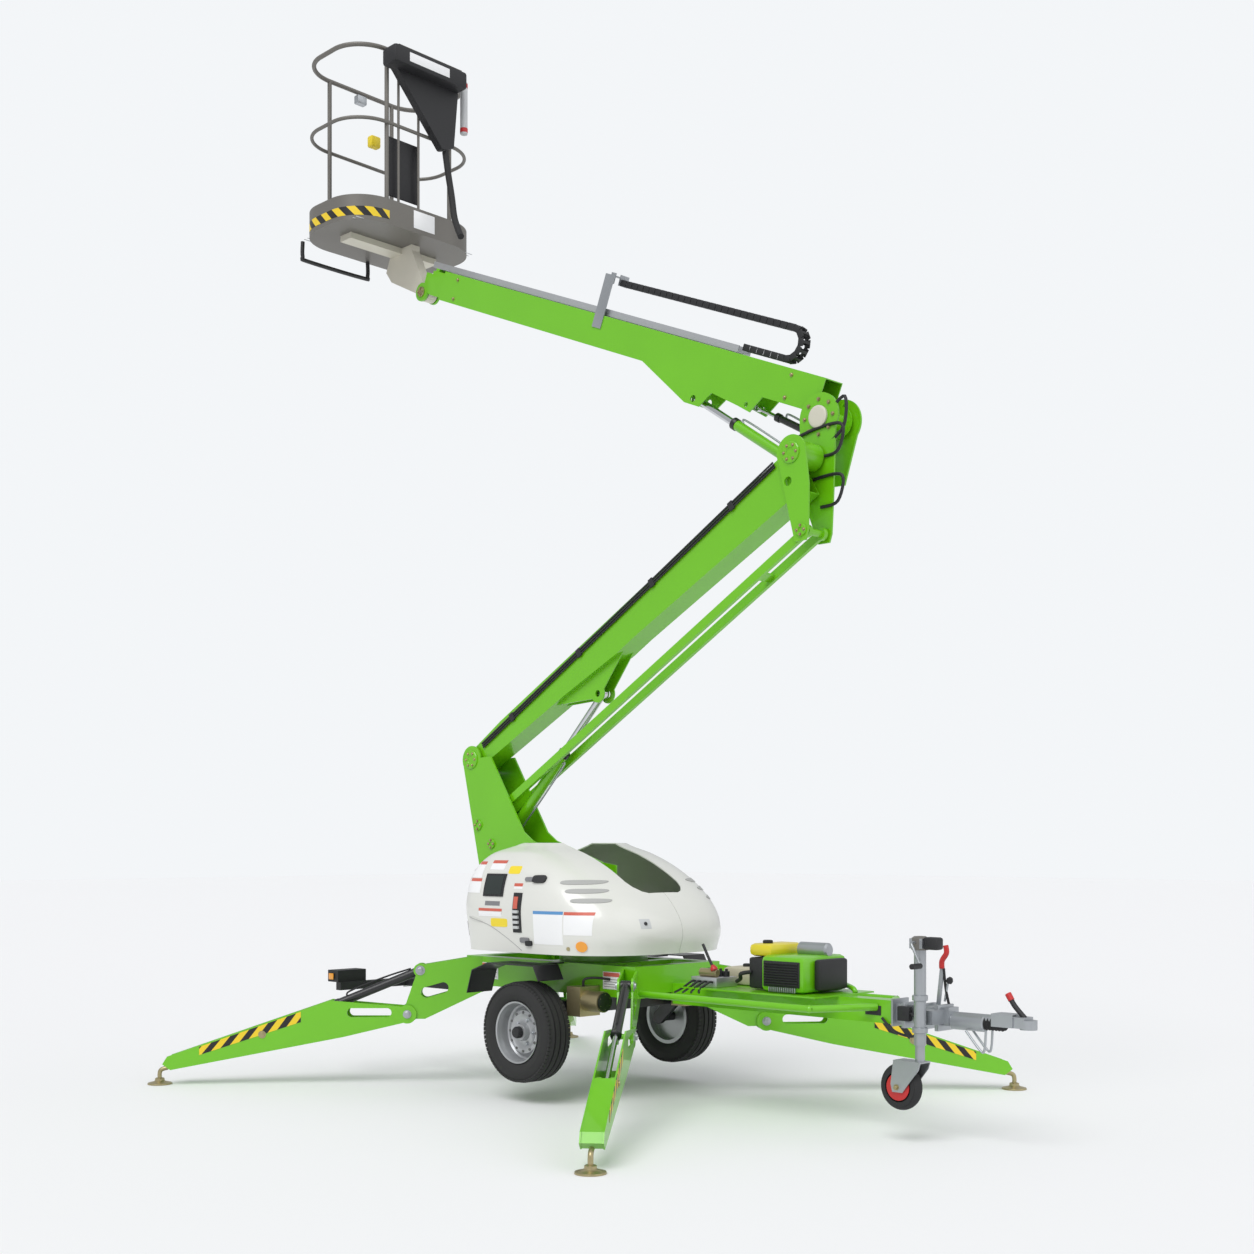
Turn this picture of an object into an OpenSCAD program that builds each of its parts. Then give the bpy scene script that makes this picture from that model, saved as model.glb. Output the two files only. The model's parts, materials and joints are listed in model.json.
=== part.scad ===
/* [Road wheels] */
// Outer radius of the tyre
tyre_r = 293; // [240:1:350]
// Width of the tyre
tyre_w = 185; // [145:1:225]
// Radius of the rim's flange
rim_r = 190; // [160:1:205]
// Distance between the tyres' centre planes
track = 1260; // [1180:1:1400]
// Height of the axle, with the machine jacked up on its legs
axle_z = 410; // [370:1:480]

/* [Chassis] */
// Height of the frame's top, under the slewing ring
frame_top = 800; // [760:1:900]
// Depth of the frame rails
rail_h = 180; // [140:1:220]
// Width of a frame rail
rail_w = 80; // [60:1:100]
// Outer width of the frame over both rails
frame_w = 720; // [640:1:800]
// Front edge of the frame
frame_front = 620; // [560:1:720]
// Rear edge of the frame
frame_rear = 860; // [800:1:960]
// Outer radius of the slewing ring
ring_r = 270; // [220:1:320]

/* [Drawbar] */
// Centre height of the drawbar
drawbar_z = 634; // [600:1:670]
// Depth of the drawbar
drawbar_h = 120; // [90:1:140]
// Width of the drawbar
drawbar_w = 100; // [70:1:130]
// Where the drawbar ends and the overrun head begins
drawbar_end = 2166; // [2000:1:2300]
// Centre of the tow ball's socket, ahead of the axle
ball_x = 2920; // [2760:1:3000]
// Height of the tow ball's socket
ball_z = 600; // [560:1:640]
// Diameter of the tow ball
ball_d = 50; // [40:1:60]

/* [Outriggers] */
// Reach of a leg from its pivot to its foot
leg_reach = 1550; // [1300:1:1800]
// Width of a leg over its side plates
leg_w = 116; // [100:1:140]
// Thickness of a leg's plates
leg_t = 8; // [5:1:12]
// Height of the leg pivots
leg_pivot_z = 440; // [400:1:480]
// Distance of the rear leg pivots behind the axle
rear_leg_x = 1070; // [1000:1:1150]
// Distance of the rear leg pivots from the centre line
rear_leg_y = 660; // [620:1:720]
// Direction of the rear legs, from straight back
rear_leg_angle = 45; // [35:1:55]
// Distance of the front leg pivots ahead of the axle
front_leg_x = 770; // [740:1:860]
// Distance of the front leg pivots from the centre line
front_leg_y = 600; // [560:1:660]
// Direction of the front legs, from straight ahead
front_leg_angle = 51; // [42:1:58]
// Diameter of a foot pad
pad_d = 150; // [120:1:200]
// Diameter of a leg cylinder's barrel
leg_barrel_d = 54; // [44:1:60]
// Diameter of a leg cylinder's rod
leg_rod_d = 30; // [22:1:34]

/* [Post and turntable] */
// Distance of the lower boom's pivot behind the slewing axis
post_x = 1000; // [900:1:1100]
// Height of the lower boom's pivot
post_z = 2040; // [1900:1:2200]
// Thickness of the post and knuckle plates
plate_t = 12; // [8:1:16]
// Sideways distance from one boom to the other
boom_pitch = 200; // [190:1:230]

/* [Lower boom] */
// Length of the lower boom between its pivots
lower_len = 3034; // [2600:1:3400]
// Angle of the lower boom above level
lower_angle = 30.3; // [20:0.1:40]
// Width of the lower boom
lower_w = 156; // [130:1:160]
// Wall of the booms
boom_wall = 6; // [4:1:10]
// Offset from the boom's pivot to the tie bar's pivot, forward
tie_dx = 70; // [40:1:100]
// Offset from the boom's pivot to the tie bar's pivot, down
tie_dz = 420; // [350:1:450]
// Depth of a tie bar
tie_h = 50; // [40:1:64]
// Width of a tie bar
tie_w = 28; // [20:1:32]

/* [Upper boom] */
// Angle of the upper boom above level
upper_angle = 23; // [10:0.5:35]
// Height of the upper boom's pivot over the knuckle pivot
upper_dz = 220; // [200:1:240]
// Length of the outer boom from its pivot
upper_len = 3560; // [3200:1:3900]
// Width of the outer boom
upper_w = 150; // [130:1:160]
// Depth of the outer boom
upper_h = 190; // [170:1:210]
// Height of the outer boom's top over its pivot
upper_top = 203; // [195:1:225]
// Gap between the inner and the outer boom
slide_gap = 8; // [5:1:10]
// How far the telescope slides out
stroke = 2600; // [2000:1:2700]
// Diameter of the lift cylinders' barrels
lift_barrel_d = 66; // [56:1:70]
// Diameter of the lift cylinders' rods
lift_rod_d = 45; // [35:1:50]

/* [Cage] */
// Length of the cage along the machine
cage_l = 720; // [620:1:800]
// Width of the cage across the machine
cage_w = 1100; // [950:1:1250]
// Corner radius of the cage
cage_r = 280; // [200:1:300]
// Height of the toe board
toe_h = 170; // [140:1:200]
// Height of the top rail over the floor
rail_top = 1180; // [1050:1:1250]
// Diameter of the guard rails
rail_d = 30; // [24:1:38]
// Underside of the cage floor over the levelling pivot
cage_dz = 370; // [350:1:420]
// Centre of the cage behind the levelling pivot
cage_dx = 310; // [280:1:360]

/* [Canopies] */
// Length of the canopies
canopy_l = 1330; // [1200:1:1400]
// Width over both canopies
canopy_w = 1300; // [1200:1:1360]
// Top of the canopies
canopy_top = 1505; // [1420:1:1600]
// Underside of the canopies
canopy_z = 868; // [850:1:900]
// Half the width of the slot that the booms fold into
slot_half = 222; // [215:1:240]
// Wall of the canopies
canopy_t = 8; // [5:1:12]

/* [Hidden] */
$fn = 48;

green = [0.36, 0.75, 0.05];
black = [0.07, 0.07, 0.08];
grey = [0.45, 0.44, 0.42];
silver = [0.72, 0.74, 0.76];
cream = [0.88, 0.87, 0.8];
white = [0.93, 0.93, 0.91];
zinc = [0.72, 0.64, 0.42];

clear = 6;                 // side clearance between parts that move past each other
pin_d = 40;                // pivot pins of the booms
leg_pin_d = 30;            // pivot pins of the legs
eye_pin_d = 27.8;          // pins that the cylinders' barrels turn on
frame_z = frame_top - rail_h;
lower_y = -boom_pitch / 2; // centre plane of the lower boom
upper_y = boom_pitch / 2;  // centre plane of the upper boom
lift_y = upper_y - 28;     // centre plane of its lift cylinder
level_y = upper_y + 37;    // centre plane of the levelling cylinder

// pivots in the side view, as [x, z]
A = [-post_x, post_z];                          // post to lower boom
B = A + [tie_dx, -tie_dz];                      // post to tie bars
C = A + lower_len * [cos(lower_angle), sin(lower_angle)]; // lower boom to knuckle
D = C + [tie_dx, -tie_dz];                      // knuckle to tie bars
F = C + [30, upper_dz];                         // knuckle to upper boom
base_pin = [-post_x + 200, post_z - 540];       // lower lift cylinder to post
lug_s = 1128;                                   // lower lift cylinder to lower boom
lug_n = -245;
lift_s = 977;                                   // upper lift cylinder to upper boom
lift_n = -105;
lift_base = F + [-90, -290];                    // upper lift cylinder to knuckle
level_s = 563;                                  // levelling cylinder to upper boom
level_n = -50;
level_base = F + [-120, -60];                   // levelling cylinder to knuckle
nose_s = 3790;                                  // levelling pivot of the cage
nose_n = 30;

function lower_at(s, n) = A + s * [cos(lower_angle), sin(lower_angle)]
    + n * [-sin(lower_angle), cos(lower_angle)];
function upper_at(s, n) = F + s * [-cos(upper_angle), sin(upper_angle)]
    + n * [sin(upper_angle), cos(upper_angle)];
G = upper_at(nose_s, nose_n);                   // inner boom to cage
cage_x = G[0] - cage_dx;
cage_z = G[1] + cage_dz;                        // underside of the cage floor

// ---------- helpers ----------

// extrudes a side-view outline, drawn as [x, z], across the machine
module side(y, w) {
    translate([0, y + w / 2, 0]) rotate([90, 0, 0]) linear_extrude(w) children();
}

// a round bar across the machine at a side-view point
module cross_pin(p, d, y, w) {
    translate([p[0], y + w / 2, p[1]]) rotate([90, 0, 0]) cylinder(h = w, d = d);
}

// places children drawn along the lower boom: +x along it, +z square to it
module on_lower() {
    translate([A[0], 0, A[1]]) rotate([0, -lower_angle, 0]) children();
}

// places children drawn along the upper boom: +x towards the nose, +z square to it
module on_upper() {
    translate([F[0], 0, F[1]]) rotate([0, upper_angle, 0]) mirror([1, 0, 0]) children();
}

// a straight round bar between two points
module bar(a, b, d) {
    v = b - a;
    h = norm(v);
    translate(a) rotate([0, acos(v[2] / h), atan2(v[1], v[0])]) cylinder(h = h, d = d);
}

// a quarter bend or less of round bar: centre, radius, angle from and to, in the plane z = 0
module bend(r, from, sweep, d) {
    rotate([0, 0, from]) rotate_extrude(angle = sweep) translate([r, 0]) circle(d = d);
}

// a plan with rounded corners, centred
module rounded_plan(l, w, r) {
    square([l - 2 * r, w], center = true);
    square([l, w - 2 * r], center = true);
    for (x = [-1, 1], y = [-1, 1]) translate([x * (l / 2 - r), y * (w / 2 - r)]) circle(r);
}

// an oval: the distance between its end arcs' centres, and its height
module oval(l, h) {
    square([l, h], center = true);
    for (e = [-1, 1]) translate([e * l / 2, 0]) circle(d = h);
}

// a hydraulic barrel in the side view, from its eye at a towards b
module barrel(a, b, len, d, eye_d, eye_w, y, bore) {
    v = b - a;
    translate([a[0], y, a[1]]) rotate([0, -atan2(v[1], v[0]), 0]) difference() {
        union() {
            rotate([90, 0, 0]) cylinder(h = eye_w, d = eye_d, center = true);
            translate([eye_d / 4, 0, 0]) rotate([0, 90, 0]) cylinder(h = len - eye_d / 4, d = d);
        }
        rotate([90, 0, 0]) cylinder(h = eye_w + 2, d = eye_pin_d + 0.2, center = true);
        translate([eye_d, 0, 0]) rotate([0, 90, 0]) cylinder(h = len, d = bore + 1);
    }
}

// the rod of the same cylinder: its eye at b, its other end inside the barrel
module rod(a, b, len, d, eye_d, eye_w, y) {
    v = a - b;
    translate([b[0], y, b[1]]) rotate([0, -atan2(v[1], v[0]), 0]) difference() {
        union() {
            rotate([90, 0, 0]) cylinder(h = eye_w, d = eye_d, center = true);
            translate([eye_d / 4, 0, 0]) rotate([0, 90, 0]) cylinder(h = len - eye_d / 4, d = d);
        }
        rotate([90, 0, 0]) cylinder(h = eye_w + 2, d = eye_pin_d + 0.2, center = true);
    }
}

// ---------- outriggers ----------
// A leg is drawn in its own plane: +x outward from its pivot, z = 0 at the pivot.

leg_names = ["rear_right", "rear_left", "front_right", "front_left"];
leg_place = [
    [-rear_leg_x, -rear_leg_y, 180 + rear_leg_angle],
    [-rear_leg_x, rear_leg_y, 180 - rear_leg_angle],
    [front_leg_x, -front_leg_y, -front_leg_angle],
    [front_leg_x, front_leg_y, front_leg_angle]];
foot_drop = leg_pivot_z - 60;     // from the pivot down to the leg's tip
leg_tip = leg_reach - 40;
jack_top = [-80, 272];            // leg cylinder to bracket
jack_low = [900, -125];           // leg cylinder to leg
lug_gap = leg_barrel_d + 2 * clear; // inside width between the bracket's plates

module at_leg(i) {
    translate([leg_place[i][0], leg_place[i][1], leg_pivot_z])
        rotate([0, 0, leg_place[i][2]]) children();
}

module bracket(i) {
    at_leg(i) {
        for (e = [-1, 1]) side(e * (lug_gap + plate_t) / 2, plate_t) difference() {
            union() {
                polygon([[-560, frame_z - leg_pivot_z + 4], [-560, frame_top - leg_pivot_z - 4],
                    [-395, frame_top - leg_pivot_z - 4], [-90, jack_top[1] + 34],
                    [-60, jack_top[1] - 10], [28, 10], [0, -30], [-110, -30]]);
                circle(d = 90);
                translate(jack_top) circle(d = 84);
            }
            translate([-170, 150]) rotate(-16) oval(110, 66);
        }
        cross_pin([0, 0], leg_pin_d, 0, leg_w);
        cross_pin(jack_top, eye_pin_d, 0, lug_gap + plate_t);
    }
}

// the leg's edges in its side view
leg_root = 480;                                  // where the top edge starts to fall
function leg_top(u) = 86 + (u - leg_root) / (leg_tip - 20 - leg_root) * (32 - foot_drop);
function leg_under(u) = -142 + (u - 400) / (leg_tip - 440) * (176 - foot_drop);

module leg(i) {
    inner = leg_w - 2 * leg_t;
    cover = 980;                                 // where the closed box starts
    color(green) at_leg(i) {
        for (e = [-1, 1]) side(e * (leg_w - leg_t) / 2, leg_t) difference() {
            union() {
                polygon([[-10, 44], [leg_root, leg_top(leg_root)],
                    [leg_tip - 20, leg_top(leg_tip - 20)], [leg_tip + 10, 70 - foot_drop],
                    [leg_tip - 40, leg_under(leg_tip - 40)], [400, leg_under(400)], [0, -48]]);
                circle(d = 116);
            }
            circle(d = leg_pin_d + 0.2);
            translate([235, 10]) oval(220, 56);
        }
        side(0, inner + 2) {
            polygon([[400, leg_under(400) + 2], [400, leg_under(400) + 2 + leg_t],
                [leg_tip - 45, leg_under(leg_tip - 45) + 2 + leg_t],
                [leg_tip - 45, leg_under(leg_tip - 45) + 2]]);
            polygon([[cover, leg_top(cover) - 2], [cover, leg_top(cover) - 2 - leg_t],
                [leg_tip - 30, leg_top(leg_tip - 30) - 2 - leg_t],
                [leg_tip - 30, leg_top(leg_tip - 30) - 2]]);
            polygon([[leg_tip - 60, leg_under(leg_tip - 60) + 4],
                [leg_tip - 60, leg_top(leg_tip - 60) - 4], [leg_tip - 28, leg_top(leg_tip - 28) - 4],
                [leg_tip + 4, 70 - foot_drop], [leg_tip - 42, leg_under(leg_tip - 42) + 4]]);
        }
        // bosses either side of the rod's eye
        for (e = [-1, 1]) cross_pin(jack_low, 60, e * (18 + clear + inner / 2 + 1) / 2,
            inner / 2 + 1 - 18 - clear);
    }
}

module foot(i) {
    stem = 26;
    z0 = -leg_pivot_z;
    color(zinc) at_leg(i) {
        translate([leg_reach, 0, z0]) {
            cylinder(h = 10, d1 = pad_d, d2 = pad_d);
            translate([0, 0, 10]) cylinder(h = 28, d1 = pad_d - 8, d2 = stem + 22);
            translate([0, 0, 20]) cylinder(h = 64, d = stem);
            translate([0, 0, 84]) sphere(d = stem + 4);
        }
        bar([leg_reach, 0, z0 + 84], [leg_tip + 6, 0, z0 + 100], stem);
    }
}

jack_len = norm(jack_low - jack_top);
module leg_barrel(i) {
    color(black) at_leg(i)
        barrel(jack_top, jack_low, 560, leg_barrel_d, 60, leg_barrel_d, 0, leg_rod_d);
}

module leg_rod(i) {
    color(silver) at_leg(i)
        rod(jack_top, jack_low, jack_len - 520, leg_rod_d, 44, 36, 0);
}

// ---------- chassis ----------

module chassis_frame() {
    color(green) {
        difference() {
            union() {
                for (s = [-1, 1]) translate([-frame_rear, s * (frame_w - rail_w) / 2 - rail_w / 2,
                    frame_z]) cube([frame_rear + frame_front, rail_w, rail_h]);
                for (x = [-frame_rear, -160, 240, frame_front - rail_w])
                    translate([x, -frame_w / 2 + rail_w, frame_z + 20])
                        cube([rail_w, frame_w - 2 * rail_w, rail_h - 20]);
                translate([0, 0, frame_z + 60]) cylinder(h = rail_h - 60, r = ring_r);
            }
            translate([0, 0, frame_z]) cylinder(h = rail_h + 10, r = ring_r - 90);
        }
        for (i = [0:3]) bracket(i);
        // slewing ring
        translate([0, 0, frame_top]) difference() {
            cylinder(h = 34, r = ring_r);
            translate([0, 0, -1]) cylinder(h = 40, r = ring_r - 60);
        }
    }
}

module axle() {
    beam_x = 150;
    inner = track / 2 - tyre_w / 2 - 30;
    color(black) {
        translate([beam_x - 40, -inner, frame_z - 110]) cube([80, 2 * inner, 80]);
        for (s = [-1, 1]) {
            translate([beam_x - 40, s * (frame_w - rail_w) / 2 - 25, frame_z - 30])
                cube([80, 50, 30]);
            // trailing arm and stub axle
            side(s * (inner - 15), 30) hull() {
                translate([beam_x, frame_z - 70]) circle(d = 84, $fn = 32);
                translate([0, axle_z]) circle(d = 84, $fn = 32);
            }
            cross_pin([0, axle_z], 56, s * (track / 2 - 30), 2 * (track / 2 - 30 - inner) + 2);
            // mudguard over the wheel, on a stay from the frame
            translate([0, 0, axle_z]) side(s * track / 2, tyre_w + 10) polygon([[-424, 206],
                [-378, 344], [-236, 394], [166, 394], [211, 310], [205, 307], [162, 388],
                [-234, 388], [-373, 339], [-418, 204]]);
            translate([-30, s * (frame_w / 2 + 90) - 90, axle_z + 382]) cube([60, 180, 8]);
        }
    }
}

module drawbar() {
    loop_y = 380;
    color(green) {
        difference() {
            translate([frame_front, -drawbar_w / 2, drawbar_z - drawbar_h / 2])
                cube([drawbar_end - frame_front, drawbar_w, drawbar_h]);
            translate([frame_front - 1, -drawbar_w / 2 + 6, drawbar_z - drawbar_h / 2 + 6])
                cube([drawbar_end - frame_front + 2, drawbar_w - 12, drawbar_h - 12]);
        }
        // engine tray
        translate([880, -260, drawbar_z + drawbar_h / 2]) cube([940, 520, 8]);
        // tube bumpers either side of the engine tray
        for (s = [-1, 1]) {
            bar([frame_front + 60, s * loop_y, drawbar_z + 20], [1880, s * loop_y, drawbar_z + 20], 38);
            translate([1880, s * loop_y, drawbar_z + 20]) sphere(d = 42);
            bar([1880, s * loop_y, drawbar_z + 20],
                [2060, s * drawbar_w / 2, drawbar_z + 20], 38);
        }
    }
}

module coupling_head() {
    color(silver) {
        // overrun housing, rubber gaiter stub and coupling
        translate([drawbar_end, -45, drawbar_z - 45]) cube([330, 90, 90]);
        translate([drawbar_end, -70, drawbar_z - 70]) cube([12, 140, 140]);
        bar([drawbar_end + 330, 0, drawbar_z], [2790, 0, ball_z + 34], 50);
        difference() {
            union() {
                translate([2740, -48, ball_z + 6]) cube([120, 96, 64]);
                translate([ball_x, 0, ball_z]) cylinder(h = 46, d = ball_d + 34);
                translate([ball_x - 80, -42, ball_z + 6]) cube([80, 84, 54]);
            }
            translate([ball_x, 0, ball_z + 2]) sphere(d = ball_d + 1);
            translate([ball_x, 0, ball_z - 30]) cylinder(h = 32, d = ball_d + 1);
        }
        // jockey clamp
        translate([2380, -150, drawbar_z - 35]) cube([90, 105, 70]);
    }
}

module hitch_levers() {
    color(grey) {
        bar([2360, 62, drawbar_z + 62], [2450, 62, 965], 16);
        translate([2330, 45, drawbar_z + 45]) cube([60, 34, 34]);
        bar([2800, 0, ball_z + 72], [2790, 0, 735], 18);
        translate([2790, 0, 735]) sphere(d = 30);
    }
}

jockey = [2425, -190];
module jockey_tube() {
    color(silver) translate([jockey[0], jockey[1], 0]) {
        difference() {
            translate([0, 0, 500]) cylinder(h = 480, d = 60);
            translate([0, 0, 499]) cylinder(h = 440, d = 51);
        }
        translate([-38, -38, 980]) cube([76, 76, 50]);
    }
}

jockey_r = 118;
jockey_axle = [-110, 285];
module jockey_fork() {
    color(silver) translate([jockey[0], jockey[1], 0]) {
        translate([0, 0, 420]) cylinder(h = 480, d = 48);
        translate([-130, -46, 412]) cube([160, 92, 8]);
        for (s = [-1, 1]) side(s * 43, 6) polygon([[-130, 412], [30, 412], [20, 380],
            [-75, 260], [-135, 260], [-145, 300]]);
        cross_pin(jockey_axle, 16, 0, 92);
    }
}

module jockey_wheel() {
    color(black) translate([jockey[0] + jockey_axle[0], jockey[1], jockey_axle[1]])
        rotate([90, 0, 0]) rotate_extrude() difference() {
            union() {
                translate([8.1, -34]) square([72, 68]);
                translate([70, -35]) square([jockey_r - 90, 70]);
                translate([jockey_r - 34, 0]) circle(d = 68);
            }
            translate([40, 14]) square([36, 30]);
            translate([40, -44]) square([36, 30]);
        }
}

module engine() {
    z0 = drawbar_z + drawbar_h / 2 + 8;
    color(black) {
        translate([1420, -190, z0]) cube([330, 380, 190]);
        translate([1460, -130, z0 + 190]) cube([230, 250, 60]);
    }
}

module hydraulic_unit() {
    z0 = drawbar_z + drawbar_h / 2 + 8;
    color(grey) {
        translate([900, -200, z0]) cube([190, 200, 100]);
        translate([940, 20, z0]) cube([240, 210, 100]);
    }
}

module rear_lights() {
    bar_x = -1640;
    color(black) {
        translate([bar_x, -800, 560]) cube([50, 1600, 50]);
        for (s = [-1, 1]) translate([bar_x - 90, s * 690 - 110, 610]) cube([110, 220, 75]);
        for (s = [-1, 1]) translate([bar_x + 50, s * 250 - 25, 560])
            cube([-frame_rear - bar_x - 50, 50, 50]);
    }
}

module traction_drives() {
    color(zinc) for (s = [-1, 1]) {
        translate([225, s * (frame_w / 2 + 80) - 80, axle_z + 100]) cube([110, 160, 170]);
        bar([330, s * (frame_w / 2 + 100), axle_z + 190], [470, s * (frame_w / 2 + 100), axle_z + 190],
            120);
    }
}

// ---------- road wheels ----------

module tyre(s) {
    color(black) translate([0, s * track / 2, axle_z]) rotate([90, 0, 0]) rotate_extrude($fn = 96)
        difference() {
            union() {
                translate([rim_r - 18, -tyre_w / 2 + 20]) square([tyre_r - rim_r, tyre_w - 40]);
                translate([tyre_r - 30, -tyre_w / 2 + 30]) square([30, tyre_w - 60]);
                for (e = [-1, 1]) translate([tyre_r - 42, e * (tyre_w / 2 - 38)]) circle(38);
                translate([rim_r + 40, -tyre_w / 2]) square([tyre_r - rim_r - 80, tyre_w]);
            }
            translate([0, -tyre_w / 2 + 32]) square([rim_r - 2, tyre_w - 64]);
        }
}

module rim(s) {
    color(silver) translate([0, s * track / 2, axle_z]) rotate([90, 0, 0]) rotate_extrude($fn = 96)
        difference() {
            union() {
                translate([28.1, -20]) square([rim_r - 38, 40]);
                translate([rim_r - 34, -tyre_w / 2 + 14]) square([15.9, tyre_w - 28]);
                translate([28.1, -44]) square([50, 88]);
            }
            translate([100, 8]) square([50, 30]);
            translate([100, -38]) square([50, 30]);
        }
}

// ---------- turntable ----------

tt_z = frame_top + 34;
module turntable() {
    color(green) {
        translate([0, 0, tt_z]) cylinder(h = 26, r = ring_r + 40);
        translate([-post_x + 190, -boom_pitch - plate_t / 2, tt_z + 10])
            cube([post_x - 190, boom_pitch + plate_t, 16]);
    }
}

module post_outline() {
    polygon([[-post_x - 88, post_z], [-post_x + 185, post_z + 14], [-501, 1574], [-420, 1520],
        [0, 1385], [110, 1370], [110, 1290], [-200, tt_z + 26], [-post_x + 200, tt_z + 26]]);
    translate(A) circle(r = 88);
}

module post() {
    color(green) {
        for (y = [-boom_pitch, 0]) side(y, plate_t) post_outline();
        for (p = [A, B]) cross_pin(p, pin_d, lower_y, boom_pitch);
        cross_pin(base_pin, eye_pin_d, lower_y, boom_pitch);
        // web between the plates, behind the cylinder
        translate([0, lower_y - boom_pitch / 2 + plate_t / 2, 0])
            translate([0, (boom_pitch - plate_t), 0]) rotate([90, 0, 0])
                linear_extrude(boom_pitch - plate_t) polygon([[-post_x - 65, 1960],
                    [-post_x - 55, 1960], [-post_x + 211, tt_z + 26], [-post_x + 200, tt_z + 26]]);
    }
}

module power_pack() {
    color(grey) {
        translate([-400, -slot_half - 330, tt_z + 30]) cube([700, 300, 300]);
        translate([-400, slot_half + 30, tt_z + 30]) cube([700, 300, 300]);
        for (s = [-1, 1]) translate([-60, s * 280 - 100, tt_z + 26]) cube([120, 200, 6]);
    }
}

module canopy_side(t) {
    polygon([[-canopy_l / 2 + 40 + t, canopy_z], [-canopy_l / 2 + t, canopy_z + 250],
        [-canopy_l / 2 + 50 + t, canopy_top - 170], [-canopy_l / 2 + 170, canopy_top - 50 - t],
        [-350, canopy_top - t], [-60, canopy_top - t], [170, canopy_top - 70 - t],
        [400, canopy_top - 200 - t], [560, canopy_top - 340 - t],
        [canopy_l / 2 - 20 - t, canopy_top - 480], [canopy_l / 2 - t, canopy_z + 100],
        [canopy_l / 2 - 50 - t, canopy_z]]);
}

module canopy_front(t) {
    h = canopy_w / 2;
    polygon([[-h + 20 + t, canopy_z - 1], [-h + t, canopy_z + 250], [-h + 60 + t, canopy_top - 150],
        [-h + 170, canopy_top - 30 - t], [-h + 300, canopy_top - t + 2], [h - 300, canopy_top - t + 2],
        [h - 170, canopy_top - 30 - t], [h - 60 - t, canopy_top - 150], [h - t, canopy_z + 250],
        [h - 20 - t, canopy_z - 1]]);
}

module canopy_plan(t) {
    l = canopy_l / 2 - t;
    w = canopy_w / 2 - t;
    polygon([[-l, -w + 140], [-l + 140, -w], [l - 430, -w], [l - 200, -w + 90], [l - 60, -w + 260],
        [l, -w + 480], [l, w - 480], [l - 60, w - 260], [l - 200, w - 90], [l - 430, w],
        [-l + 140, w], [-l, w - 140]]);
}

module dome(t) {
    intersection() {
        side(0, canopy_w + 10) canopy_side(t);
        translate([-canopy_l, 0, 0]) rotate([90, 0, 90]) linear_extrude(2 * canopy_l) canopy_front(t);
        translate([0, 0, canopy_z]) linear_extrude(canopy_top) canopy_plan(t);
    }
}

module canopy(s) {
    // hinge tube along the lower edge
    hinge_y = s * (canopy_w / 2 - 20);
    color(white) bar([-300, hinge_y, canopy_z], [300, hinge_y, canopy_z], 14);
    color(white) intersection() {
        difference() {
            dome(0);
            translate([0, 0, -0.5]) dome(canopy_t);
            // slot for the booms, closed at the front below its end
            translate([-canopy_l, -slot_half, canopy_z - 10]) cube([canopy_l + 150, 2 * slot_half, 900]);
            translate([0, -slot_half, 1215]) cube([canopy_l, 2 * slot_half, 900]);
        }
        translate([-canopy_l, s > 0 ? 1 : -canopy_w, 0]) cube([2 * canopy_l, canopy_w - 1, 3000]);
    }
}

// ---------- lower boom, tie bars and knuckle ----------

function lower_outline(t) = [[-40, 62 - t], [330, 77 - t], [lower_len - 60, 42 - t],
    [lower_len - 60, -200 + t], [1560, -150 + t], [1400, -150 + t], [900, -112 + t],
    [-20 + t, -70 + t]];

module lower_boom() {
    lug = [lug_s, lug_n];
    color(green) difference() {
        union() {
            on_lower() difference() {
                side(lower_y, lower_w) polygon(lower_outline(0));
                side(lower_y, lower_w - 2 * boom_wall) polygon(lower_outline(boom_wall));
            }
            cross_pin(A, 130, lower_y, lower_w + 6);
            cross_pin(C, 150, lower_y, lower_w + 6);
            on_lower() for (y = [-1, 1])
                side(lower_y + y * (lift_barrel_d / 2 + clear + 4), 8) difference() {
                    union() {
                        polygon([[760, -90], [1480, -130], [lug_s + 40, lug_n - 10],
                            [lug_s - 40, lug_n - 10]]);
                        translate(lug) circle(d = 110);
                    }
                    translate(lug) circle(d = pin_d);
                }
        }
        cross_pin(A, pin_d + 0.2, lower_y, lower_w + 10);
        cross_pin(C, 90.2, lower_y, lower_w + 10);
    }
}

lug_xz = lower_at(lug_s, lug_n);
module lower_barrel() {
    color(green) barrel(base_pin, lug_xz, 800, lift_barrel_d, 80, lift_barrel_d, lower_y, lift_rod_d);
}

module lower_rod() {
    color(silver) rod(base_pin, lug_xz, norm(lug_xz - base_pin) - 740, lift_rod_d, 56, 50, lower_y);
}

module tie_bars() {
    color(green) for (y = [-1, 1]) difference() {
        union() {
            translate([B[0], 0, B[1]]) rotate([0, -lower_angle, 0])
                side(lower_y + y * (lower_w - tie_w) / 2, tie_w - 4)
                    translate([15, -tie_h / 2]) square([lower_len - 30, tie_h]);
            for (p = [B, D]) cross_pin(p, 70, lower_y + y * (lower_w - tie_w) / 2, tie_w);
        }
        for (p = [B, D]) cross_pin(p, pin_d + 0.2, lower_y, boom_pitch);
    }
    // stay between the two bars near the knuckle
    color(green) translate([B[0], 0, B[1]]) rotate([0, -lower_angle, 0])
        translate([lower_len - 420, lower_y - (lower_w - 2 * tie_w) / 2 - 4, -6])
            cube([60, lower_w - 2 * tie_w + 8, 12]);
}

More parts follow.
